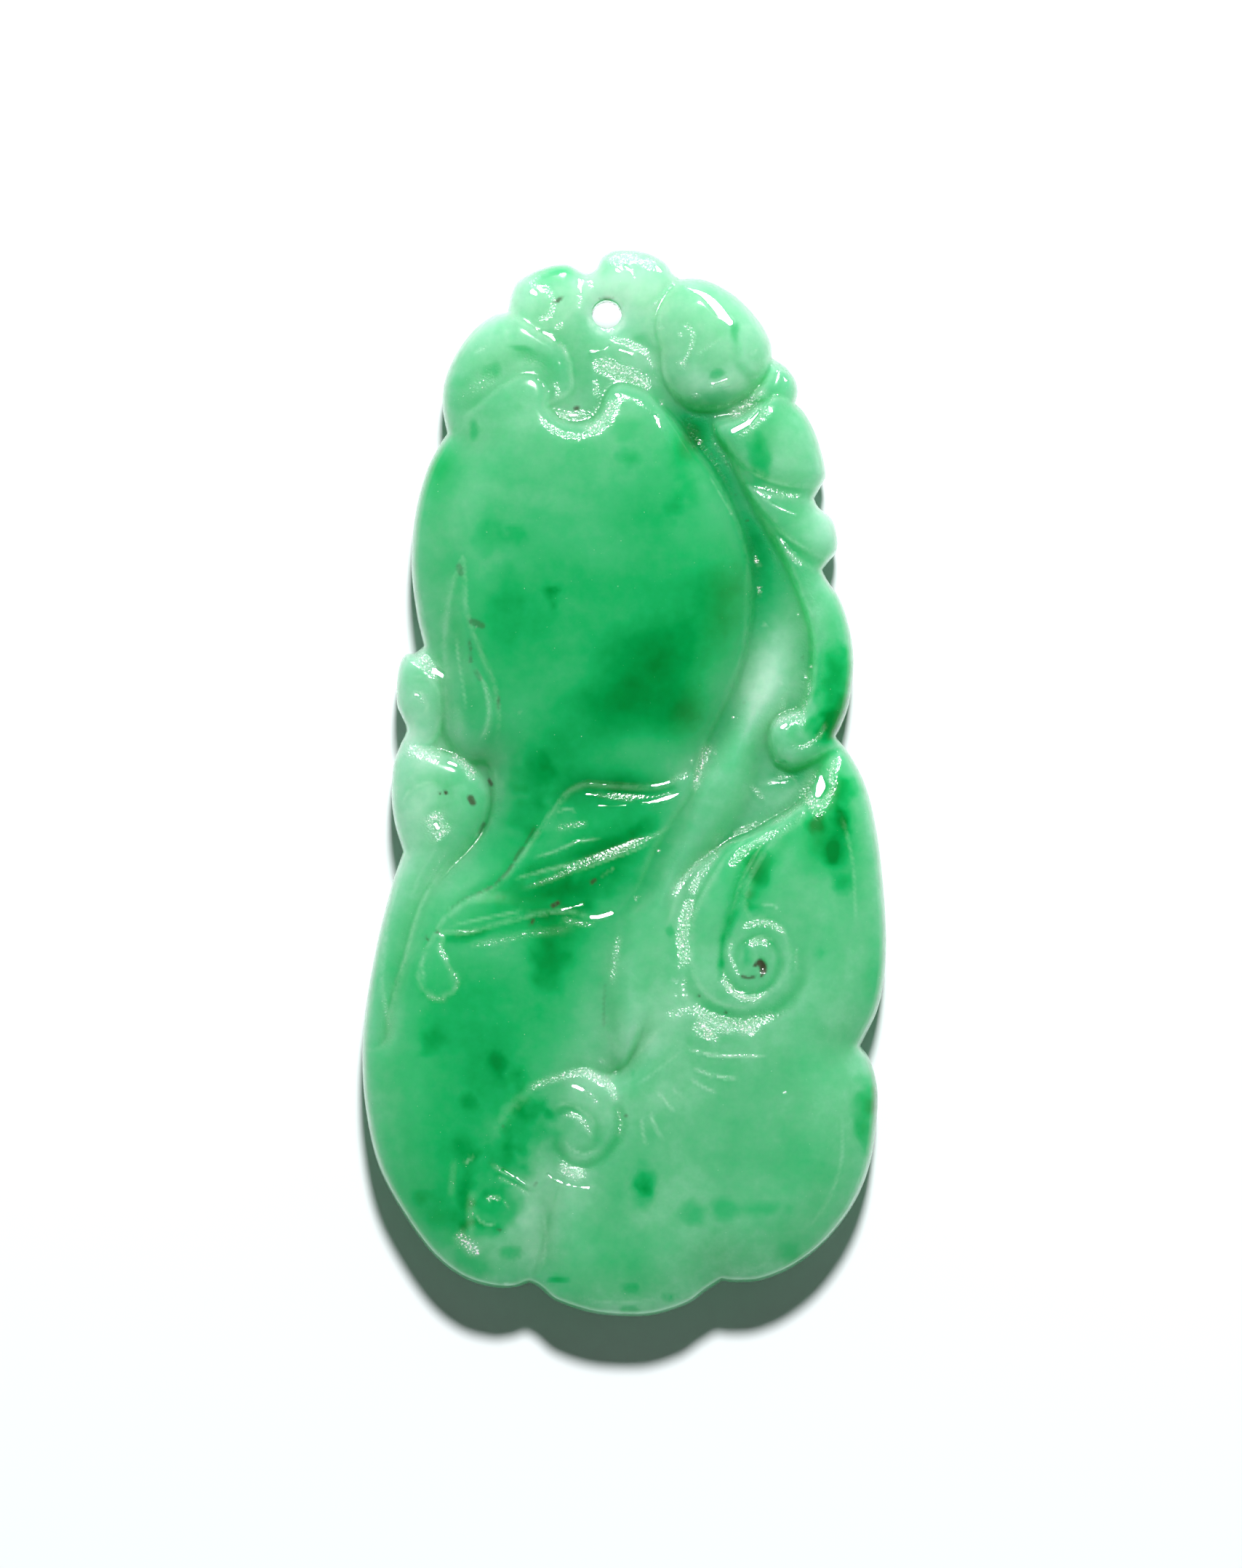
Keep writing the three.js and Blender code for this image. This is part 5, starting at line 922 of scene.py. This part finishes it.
# Single painted glints, white specks in the colour, in the cuts: place and half width
GLINTS = (
    (3.75, -11.35, 0.12), (4.0, -11.6, 0.1), (3.9, -11.9, 0.08), (5.85, -11.45, 0.1), (5.95, -11.7, 0.08),
    (-7.25, -21.5, 0.12), (-7.0, -21.7, 0.1), (-7.5, -21.3, 0.08), (-6.85, -21.95, 0.09), (-7.2, -21.8, 0.07),
    (6.2, 10.4, 0.09), (6.35, 10.25, 0.06), (6.15, 10.55, 0.05), (6.3, 9.15, 0.07), (6.35, 8.95, 0.05),
    (6.55, 7.45, 0.07), (8.15, 7.9, 0.06), (8.75, 5.45, 0.07), (8.7, 4.4, 0.06), (7.35, 4.7, 0.05),
    (3.55, 15.95, 0.07), (5.0, 12.6, 0.05), (5.1, 3.1, 0.05), (4.25, 1.4, 0.05), (3.15, 1.05, 0.06),
    (0.55, -5.35, 0.06), (2.5, -8.6, 0.06), (2.45, -9.25, 0.06), (2.75, -8.1, 0.06), (7.5, -14.4, 0.07),
    (1.6, -3.15, 0.06), (-4.9, 3.3, 0.03), (-2.6, -9.9, 0.05), (1.75, 17.7, 0.06), (-3.5, 18.3, 0.04),
    (6.55, 17.0, 0.05), (6.9, 17.6, 0.05), (2.4, -9.9, 0.05), (4.2, -1.0, 0.04), (-6.9, 7.3, 0.03),
)


def colour_stone(stone):
    """The green's clouds and patches, the dark marks and the single glints."""
    stone.green += 0.42
    for clouds in CLOUDS.values():
        for cloud in clouds:
            stone.tint(*cloud)
    for patches in PATCHES.values():
        for patch in patches:
            stone.patch(*patch)
    for width, amount, *line in SPECKS:
        stone.speck(line, width, amount)
    for x, y, size in GLINTS:
        stone.painted_glint(x, y, size)


CARVING = (
    carve_curled_leaf,
    carve_top_scrolls,
    carve_twigs,
    carve_bud,
    carve_right_leaf,
    carve_side_scrolls,
    carve_gourd,
    carve_blade_leaf,
    carve_strands,
    carve_fungus,
    carve_central_leaf,
    carve_hole,
    colour_stone,
)


def carve(sizes):
    """The stone with all its carving."""
    stone = Stone(sizes.ground / MM)
    for cut in CARVING:
        cut(stone)

    # Polishing lowers the steps between the forms and leaves the broad shape
    broad = stone.soften(stone.height, 1.6)
    height = broad + sizes.relief * (stone.height - broad) + stone.fine
    stone.height = stone.soften(height, sizes.polish / MM)

    # The face falls gently towards the outline, from which each cell's distance is less than 0 outside it
    outline = silhouette(OUTLINE_STEP)
    gap, _ = stone.distance(np.vstack([outline, outline[:1]]), 3.5)
    stone.inward = np.where(stone.inside(outline), gap, -gap)
    top = ease((stone.y - 19.5) / 2)
    right = ease((stone.y - 14) / 3) * ease((stone.x + 2) / 3)
    reach = 3.2 - 1.8 * np.maximum(top, right)
    brow = sizes.brow / MM + 0.15 * top
    stone.height = brow + (stone.height - brow) * np.sin(0.5 * math.pi * np.clip(stone.inward / reach, 0, 1))

    # Steps are left duller than the open faces
    rows, columns = np.gradient(stone.height - stone.soften(stone.height, 0.4), stone.CELL)
    steps = ease((np.hypot(rows, columns) - 0.1) / 0.25) * (1 - ease(stone.fine / 0.03))
    stone.matt = np.maximum(stone.matt, 0.7 * steps)
    stone.cut_facets()
    stone.height = np.minimum(stone.height, sizes.thickness / MM - 0.005)

    # Painted shade: deeper green where grooves and moats are cut. Painted light: paler green towards the
    # outline, where the rim is thin
    stone.green += 0.3 * stone.deep - 0.1 * np.exp(-(np.clip(stone.inward, 0, 9) / 0.5) ** 2)
    return stone


def moved_in(loop, depth):
    """A clockwise loop moved inwards."""
    ahead = np.roll(loop, -1, axis=0) - np.roll(loop, 1, axis=0)
    normal = np.column_stack([ahead[:, 1], -ahead[:, 0]]) / np.hypot(*ahead.T)[:, None]
    return loop + normal * depth


def lattice(pitch):
    """Points over the whole stone in staggered rows."""
    row = pitch * 0.866
    x, y = np.meshgrid(np.arange(-HALF_WIDTH, HALF_WIDTH, pitch), np.arange(-HALF_LENGTH, HALF_LENGTH, row))
    x[1::2] += 0.5 * pitch
    return np.column_stack([x.ravel(), y.ravel()])


def sheet(loop, ring, points):
    """Triangles between the outline's loop and the hole's ring, through the points.

    The loop's points come first, and then the ring's.
    """
    places = np.vstack([loop, ring, *points])
    count = len(loop)
    found, _, faces, origins, *_ = delaunay_2d_cdt(
        [Vector(place) for place in places],
        [(count + i, count + (i + 1) % len(ring)) for i in range(len(ring))],
        [list(range(count))],
        1,
        1e-5,
    )
    index = np.full(len(found), -1)
    for k, origin in enumerate(origins):
        index[k] = min(origin)
    faces = index[np.array(faces)]
    middle = places[faces].mean(axis=1) - ring.mean(axis=0)
    outside = np.hypot(*middle.T) > np.hypot(*(ring[0] - ring.mean(axis=0))) * 0.99
    return places, faces[outside]


def front_sheet(stone, sizes, loop, ring):
    """The carved front: rings down the rim, then ever finer points where the carving bends."""
    rows, columns = np.gradient(stone.height, stone.CELL)
    bend = np.abs(np.gradient(rows, stone.CELL, axis=0)) + np.abs(np.gradient(columns, stone.CELL, axis=1))
    bend = stone.soften(bend, 0.08)
    for grid, share in ((stone.green, 0.3), (stone.pale, 0.5), (stone.frost_and_sparkle, 0.5), (stone.dark_marks, 1.2)):
        rows, columns = np.gradient(stone.soften(grid, 0.05), stone.CELL)
        bend = np.maximum(bend, share * np.hypot(rows, columns))
    points = []
    for depth in RIM_DEPTHS:
        near = moved_in(loop, depth)
        points.append(near[stone.at(stone.inward, near) > depth * 0.9])

    # Each spacing, and the bend from which and up to which it is used
    levels = ((0.28, -1, 0.25), (0.14, 0.25, 1.6), (sizes.fine / MM, 1.6, 1e9))
    for pitch, least, most in levels:
        places = lattice(pitch)
        here = stone.at(bend, places)
        deep = stone.at(stone.inward, places) > RIM_DEPTHS[-1] + 0.5 * pitch
        clear = np.hypot(*(places - ring.mean(axis=0)).T) > sizes.hole_radius / MM + 0.4 * pitch
        points.append(places[(here > least) & (here <= most) & deep & clear])
    places = lattice(FLAT_STEP) + 0.5 * FLAT_STEP
    polished = stone.at(stone.soften(stone.faceted, 0.05), places) > 0.08
    points.append(places[polished & (stone.at(stone.inward, places) > RIM_DEPTHS[-1] + 0.03)])
    places, faces = sheet(loop, ring, points)
    edge = sizes.edge / MM
    inward = stone.at(stone.inward, places)
    z = edge + (stone.at(stone.height, places) - edge) * swell(inward * MM / sizes.rim)
    z[:len(loop)] = edge
    return places, z, faces


def back_sheet(stone, sizes, loop, ring):
    """The plain back: rings round its rim, and few points on its flat."""
    roll = sizes.back_rim / MM
    points = []
    for depth in (*RIM_DEPTHS, 0.55, 0.8, roll):
        near = moved_in(loop, depth)[::1 if depth < 0.3 else 3]
        points.append(near[stone.at(stone.inward, near) > depth * 0.9])
    places = lattice(1.2)
    clear = np.hypot(*(places - ring.mean(axis=0)).T) > sizes.hole_radius / MM + 0.4
    points.append(places[(stone.at(stone.inward, places) > roll + 0.3) & clear])
    places, faces = sheet(loop, ring, points)
    z = sizes.edge / MM * (1 - swell(stone.at(stone.inward, places) / roll))
    z[:len(loop)] = sizes.edge / MM
    return places, z, faces[:, ::-1]


def stone_mesh(sizes):
    """The whole stone as a closed mesh in metres, with what colours it as attributes."""
    stone = carve(sizes)
    loop = silhouette(OUTLINE_STEP)
    ring = np.array(circle(*sizes.hole_place, sizes.hole_radius / MM, HOLE_SIDES))
    front_places, front_z, front_faces = front_sheet(stone, sizes, loop, ring)
    back_places, back_z, back_faces = back_sheet(stone, sizes, loop, ring)

    # The back's loop is the front's, and the hole's wall joins the two rings
    shift = len(front_places) - len(loop)
    back_faces = np.where(back_faces < len(loop), back_faces, back_faces + shift)
    start = len(loop) + np.arange(HOLE_SIDES)
    after = len(loop) + (np.arange(HOLE_SIDES) + 1) % HOLE_SIDES
    low_start, low_after = start + shift, after + shift
    wall = np.vstack([
        np.column_stack([start, after, low_after]),
        np.column_stack([start, low_after, low_start]),
    ])
    places = np.vstack([front_places, back_places[len(loop):]])
    heights = np.concatenate([front_z, back_z[len(loop):]])
    middle = (places[:len(loop)].max(axis=0) + places[:len(loop)].min(axis=0)) / 2
    vertices = np.column_stack([(places - middle) * INSIDE, heights]) * MM

    mesh = bpy.data.meshes.new("jade pendant")
    mesh.from_pydata(vertices.tolist(), [], np.vstack([front_faces, back_faces, wall]).tolist())
    for name in ("green", "matt", "frost_and_sparkle", "pale", "dark_marks"):
        values = stone.at(getattr(stone, name), places)
        mesh.attributes.new(name, "FLOAT", "POINT").data.foreach_set("value", values.astype(np.float32))
    mesh.update()
    return mesh


# Finish

# Jadeite: how strongly it bends light, how far light wanders in it, how rough its polish is, and how much
# rougher its matt cuts are
JADE_IOR = 1.66
JADE_DEPTH = 7 * MM
JADE_DEPTH_OF_COLOURS = (0.5, 1.0, 0.7)
POLISHED, ROUGHER = 0.13, 0.1


def shader(name):
    """A new material with its shader's node and tree."""
    material = bpy.data.materials.new(name)
    material.use_nodes = True
    tree = material.node_tree
    return material, tree, tree.nodes["Principled BSDF"]


def ramp(tree, value, *stops):
    """A colour ramp over a value, from pairs of a place and a colour."""
    node = tree.nodes.new("ShaderNodeValToRGB")
    elements = node.color_ramp.elements
    while len(elements) < len(stops):
        elements.new(0.5)
    for element, (place, colour) in zip(elements, stops):
        element.position = place
        element.color = (*colour, 1)
    tree.links.new(value, node.inputs["Fac"])
    return node.outputs["Color"]


def noise(tree, scale, detail=3.0, rough=0.5):
    """Noise over the object's own coordinates, with its scale per millimetre."""
    place = tree.nodes.new("ShaderNodeTexCoord")
    node = tree.nodes.new("ShaderNodeTexNoise")
    node.inputs["Scale"].default_value = scale / MM
    node.inputs["Detail"].default_value = detail
    node.inputs["Roughness"].default_value = rough
    tree.links.new(place.outputs["Object"], node.inputs["Vector"])
    return node.outputs["Fac"]


def attribute(tree, name):
    """One of the stone's own values."""
    node = tree.nodes.new("ShaderNodeAttribute")
    node.attribute_name = name
    return node.outputs["Fac"]


def maths(tree, operation, first, second, third=None, clamp=False):
    """One step of arithmetic on sockets or numbers."""
    node = tree.nodes.new("ShaderNodeMath")
    node.operation = operation
    node.use_clamp = clamp
    for socket, value in zip(node.inputs, (first, second, third)):
        if isinstance(value, (int, float)):
            socket.default_value = value
        elif value is not None:
            tree.links.new(value, socket)
    return node.outputs[0]


def mix(tree, share, first, second):
    """Two colours mixed by a share."""
    node = tree.nodes.new("ShaderNodeMix")
    node.data_type = "RGBA"
    tree.links.new(share, node.inputs["Factor"])
    for socket, value in ((node.inputs["A"], first), (node.inputs["B"], second)):
        if isinstance(value, tuple):
            socket.default_value = (*value, 1)
        else:
            tree.links.new(value, socket)
    return node.outputs["Result"]


def jade_material(colours):
    """Polished jadeite: green in clouds, with painted shade deeper green in the cuts, painted pale light on
    its edges and thin rim, painted white sparkle, and matt in the cuts.
    """
    material, tree, surface = shader("jade")

    # The carved-in green, made uneven by broad clouds and fine wisps
    clouds = noise(tree, 0.35, 4)
    wisps = noise(tree, 1.6, 4, 0.6)
    green = maths(tree, "MULTIPLY_ADD", maths(tree, "SUBTRACT", clouds, 0.5), 0.5, attribute(tree, "green"))
    green = maths(tree, "MULTIPLY_ADD", maths(tree, "SUBTRACT", wisps, 0.5), 0.2, green)
    body = ramp(
        tree,
        maths(tree, "DIVIDE", green, 1.2),
        (0.0, tuple(colours.palest)),
        (0.17, tuple(colours.pale)),
        (0.34, tuple(colours.light)),
        (0.5, tuple(colours.green)),
        (0.67, tuple(colours.rich)),
        (0.85, tuple(colours.deep)),
        (1.0, tuple(colours.darkest)),
    )
    # Painted light: pale edges and lines where edges catch the light, broken up by noise
    pale_breakup = maths(tree, "SUBTRACT", noise(tree, 2.5, 3, 0.6), 0.5)
    pale_breakup = maths(tree, "MULTIPLY_ADD", pale_breakup, 3.0, 0.8, clamp=True)
    body = mix(tree, maths(tree, "MULTIPLY", attribute(tree, "pale"), pale_breakup), body, tuple(colours.palest))

    # Painted white sparkle: white specks standing in for glints, the closer together the more frost a place
    # has, over a faint whitish haze of the unpolished finish
    frost_and_sparkle = attribute(tree, "frost_and_sparkle")
    specks = maths(tree, "SUBTRACT", noise(tree, 9, 2, 0.75), 0.75)
    specks = maths(tree, "MULTIPLY_ADD", frost_and_sparkle, 0.24, specks)
    specks = maths(tree, "MULTIPLY", specks, 14.0, clamp=True)
    haze = maths(tree, "MULTIPLY", frost_and_sparkle, 0.14)
    body = mix(tree, maths(tree, "MAXIMUM", specks, haze, clamp=True), body, tuple(colours.sparkling_frost))
    body = mix(tree, attribute(tree, "dark_marks"), body, tuple(colours.dark_marks))
    tree.links.new(body, surface.inputs["Base Color"])

    # Gloss, and the grain of what is left unpolished
    matt = attribute(tree, "matt")
    tree.links.new(maths(tree, "MULTIPLY_ADD", matt, ROUGHER, POLISHED), surface.inputs["Roughness"])
    grain = tree.nodes.new("ShaderNodeBump")
    grain.inputs["Distance"].default_value = 0.16 * MM
    tree.links.new(noise(tree, 8, 2), grain.inputs["Height"])
    coarse = maths(tree, "MULTIPLY_ADD", frost_and_sparkle, 0.7, maths(tree, "MULTIPLY_ADD", matt, 0.25, 0.01))
    tree.links.new(coarse, grain.inputs["Strength"])
    tree.links.new(grain.outputs["Normal"], surface.inputs["Normal"])
    surface.inputs["IOR"].default_value = JADE_IOR
    surface.inputs["Subsurface Weight"].default_value = 1.0
    surface.inputs["Subsurface Radius"].default_value = JADE_DEPTH_OF_COLOURS
    surface.inputs["Subsurface Scale"].default_value = JADE_DEPTH
    return material


def table_material(colours):
    """Matt white board."""
    material, tree, surface = shader("table")
    surface.inputs["Base Color"].default_value = (*colours.table, 1)
    surface.inputs["Roughness"].default_value = 0.7
    return material


# Settings

class PendantSizes(bpy.types.PropertyGroup):
    """Sizes of the stone."""

    thickness: bpy.props.FloatProperty(
        name="Thickness", description="Height of the front's highest place over the flat back",
        default=CAD_BOX[1][2] - CAD_BOX[0][2], unit="LENGTH")
    ground: bpy.props.FloatProperty(
        name="Ground", description="Height of the sunk ground between the forms",
        default=3.1 * MM, unit="LENGTH")
    edge: bpy.props.FloatProperty(
        name="Edge", description="Height of the outline over the flat back", default=1.8 * MM, unit="LENGTH")
    rim: bpy.props.FloatProperty(
        name="Front rim", description="How far in the front's edge rolls over",
        default=0.4 * MM, unit="LENGTH")
    brow: bpy.props.FloatProperty(
        name="Brow", description="Height from which the front's edge rolls over",
        default=3.9 * MM, unit="LENGTH")
    relief: bpy.props.FloatProperty(
        name="Relief", description="How much of the carving's steps is left after polishing", default=0.6,
        subtype="FACTOR")
    back_rim: bpy.props.FloatProperty(
        name="Back rim", description="How far in the back rolls over", default=1.2 * MM, unit="LENGTH")
    polish: bpy.props.FloatProperty(
        name="Polish", description="How far the polishing softens the cuts", default=0.06 * MM, unit="LENGTH")
    fine: bpy.props.FloatProperty(
        name="Finest spacing", description="Spacing of the mesh where the carving is finest",
        default=0.09 * MM, unit="LENGTH")
    hole_radius: bpy.props.FloatProperty(
        name="Hole radius", description="Radius of the drilled hole", default=0.7 * MM, unit="LENGTH")
    hole_place: bpy.props.FloatVectorProperty(
        name="Hole place", description="Middle of the drilled hole, in millimetres", size=2,
        default=HOLE_PLACE)


class PendantColours(bpy.types.PropertyGroup):
    """Colours of the stone and the table."""

    palest: bpy.props.FloatVectorProperty(
        name="Palest", description="Thinnest and palest stone", subtype="COLOR", default=(0.43, 0.71, 0.52))
    pale: bpy.props.FloatVectorProperty(
        name="Pale", description="Pale stone", subtype="COLOR", default=(0.26, 0.59, 0.375))
    light: bpy.props.FloatVectorProperty(
        name="Light green", description="Light stone", subtype="COLOR", default=(0.125, 0.485, 0.242))
    green: bpy.props.FloatVectorProperty(
        name="Green", description="Middle of the stone's range", subtype="COLOR", default=(0.05, 0.44, 0.17))
    rich: bpy.props.FloatVectorProperty(
        name="Rich green", description="Well coloured stone", subtype="COLOR", default=(0.010, 0.40, 0.117))
    deep: bpy.props.FloatVectorProperty(
        name="Deep green", description="Strongly coloured stone", subtype="COLOR",
        default=(0.001, 0.305, 0.065))
    darkest: bpy.props.FloatVectorProperty(
        name="Darkest green", description="Darkest patches", subtype="COLOR", default=(0.001, 0.215, 0.034))
    # Painted white of the sparkle and of the unpolished haze
    sparkling_frost: bpy.props.FloatVectorProperty(
        name="Frost", description="Unpolished places that catch the light", subtype="COLOR",
        default=(0.95, 1.0, 0.97))
    # Colour of the dark marks, in the stone and in its pits and cuts
    dark_marks: bpy.props.FloatVectorProperty(
        name="Dirt", description="Dark specks and polish left in the cuts", subtype="COLOR",
        default=(0.06, 0.05, 0.03))
    table: bpy.props.FloatVectorProperty(
        name="Table", description="White board under the stone", subtype="COLOR", default=(0.835, 0.86, 0.89))
    walls: bpy.props.FloatVectorProperty(
        name="Walls", description="Tint of the light from the walls", subtype="COLOR",
        default=(0.8, 1.0, 0.85))


class StudioSettings(bpy.types.PropertyGroup):
    """Light and camera."""

    key_power: bpy.props.FloatProperty(
        name="Key light", description="Power of the main lamp", default=5.0, unit="POWER")
    key_height: bpy.props.FloatProperty(
        name="Key height", description="Angle of the main lamp over the table",
        default=LAMP_HEIGHT, subtype="ANGLE")
    key_turn: bpy.props.FloatProperty(
        name="Key turn", description="How far the main lamp stands to the right of the top end",
        default=LAMP_TURN, subtype="ANGLE")
    key_size: bpy.props.FloatProperty(
        name="Key size", description="Width of the main lamp", default=78 * MM, unit="LENGTH")
    pin_power: bpy.props.FloatProperty(
        name="Hole light", description="Power of the small lamp in the drilled hole",
        default=0.0003, unit="POWER")
    pin_height: bpy.props.FloatProperty(
        name="Hole light height", description="Height of the small lamp over the table",
        default=2.5 * MM, unit="LENGTH")
    pin_offset: bpy.props.FloatProperty(
        name="Hole light offset", description="How far the small lamp stands from the hole's middle",
        default=0.45 * MM, unit="LENGTH")
    fill: bpy.props.FloatProperty(
        name="Fill", description="Strength of the light from the walls", default=0.42)
    distance: bpy.props.FloatProperty(
        name="Camera distance", description="Height of the camera over the table",
        default=CAMERA_PLACE[2] * MM, unit="LENGTH")


# Operators

class PENDANT_OT_carve(bpy.types.Operator):
    """Carve the stone and give it its jade finish"""

    bl_idname = "pendant.carve"
    bl_label = "Carve the pendant"

    def execute(self, context):
        bpy.ops.object.select_all(action="DESELECT")
        scene = context.scene
        stone = bpy.data.objects.new("carved_pendant", stone_mesh(scene.pendant_sizes))
        scene.collection.objects.link(stone)
        context.view_layer.objects.active = stone
        stone.select_set(True)
        bpy.ops.object.shade_smooth()
        stone.data.materials.append(jade_material(scene.pendant_colours))
        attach(stone, "root")
        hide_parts("jade_pendant")
        return {"FINISHED"}


class PENDANT_OT_stage(bpy.types.Operator):
    """Set the table, the lamps and the camera"""

    bl_idname = "pendant.stage"
    bl_label = "Set the stage"

    def execute(self, context):
        scene, studio = context.scene, context.scene.pendant_studio
        bpy.ops.object.select_all(action="DESELECT")
        bpy.ops.mesh.primitive_plane_add(size=4, location=(0, 0, CAD_BOX[0][2]))
        table = context.object
        table.name = "table"
        table.data.materials.append(table_material(scene.pendant_colours))

        reach = LAMP_REACH * MM
        along = reach * math.cos(studio.key_height)
        place = Vector((
            along * math.sin(studio.key_turn),
            along * math.cos(studio.key_turn),
            reach * math.sin(studio.key_height),
        ))
        towards_stone = place.to_track_quat("Z", "Y").to_euler()
        bpy.ops.object.light_add(type="AREA", location=place, rotation=towards_stone)
        lamp = context.object
        lamp.name = "key lamp"
        lamp.data.shape = "DISK"
        lamp.data.size = studio.key_size
        lamp.data.energy = studio.key_power

        # The small lamp stands a little towards the top end of the hole
        across, up = (MM * n for n in scene.pendant_sizes.hole_place)
        hole = (across, up + studio.pin_offset, studio.pin_height)
        bpy.ops.object.light_add(type="SPOT", location=hole, rotation=(0, 0, 0))
        pin = context.object
        pin.name = "hole lamp"
        pin.data.spot_size = math.radians(60)
        pin.data.spot_blend = 0.8
        pin.data.shadow_soft_size = 0
        pin.data.energy = studio.pin_power

        # Light from the walls, which fades out overhead
        world = scene.world or bpy.data.worlds.new("studio")
        scene.world = world
        world.use_nodes = True
        sky = world.node_tree
        backdrop = sky.nodes["Background"]
        backdrop.inputs["Color"].default_value = (*scene.pendant_colours.walls, 1)
        place = sky.nodes.new("ShaderNodeTexCoord")
        split = sky.nodes.new("ShaderNodeSeparateXYZ")
        sky.links.new(place.outputs["Generated"], split.inputs[0])
        low = maths(sky, "DIVIDE", maths(sky, "SUBTRACT", 0.8, split.outputs["Z"]), 0.5, clamp=True)
        sky.links.new(maths(sky, "MULTIPLY", low, studio.fill), backdrop.inputs["Strength"])

        across, up = (n * MM for n in CAMERA_PLACE[:2])
        bpy.ops.object.camera_add(location=(across, up, studio.distance), rotation=(0, 0, 0))
        camera = context.object
        camera.data.sensor_width = SENSOR
        camera.data.lens = SENSOR * (studio.distance - CAMERA_LEVEL) / VIEW_HEIGHT
        camera.data.clip_start = 0.01
        scene.camera = camera
        scene.view_settings.view_transform = "Standard"
        return {"FINISHED"}


class PENDANT_PT_panel(bpy.types.Panel):
    """Buttons and settings of the pendant"""

    bl_label = "Jade pendant"
    bl_idname = "PENDANT_PT_panel"
    bl_space_type = "VIEW_3D"
    bl_region_type = "UI"
    bl_category = "Pendant"

    def draw(self, context):
        column = self.layout.column()
        for operator in OPERATORS:
            column.operator(operator.bl_idname)
        for group in SETTINGS:
            settings = getattr(context.scene, group)
            for name in settings.__annotations__:
                column.prop(settings, name)


SETTINGS = {
    "pendant_sizes": PendantSizes,
    "pendant_colours": PendantColours,
    "pendant_studio": StudioSettings,
}
OPERATORS = (PENDANT_OT_carve, PENDANT_OT_stage)


def register():
    for cls in (*SETTINGS.values(), *OPERATORS, PENDANT_PT_panel):
        bpy.utils.register_class(cls)
    for name, cls in SETTINGS.items():
        setattr(bpy.types.Scene, name, bpy.props.PointerProperty(type=cls))


def unregister():
    for name in SETTINGS:
        delattr(bpy.types.Scene, name)
    for cls in (PENDANT_PT_panel, *OPERATORS, *SETTINGS.values()):
        bpy.utils.unregister_class(cls)


def main():
    register()
    for operator in OPERATORS:
        getattr(bpy.ops.pendant, operator.bl_idname.split(".")[1])()


if __name__ == "__main__":
    main()
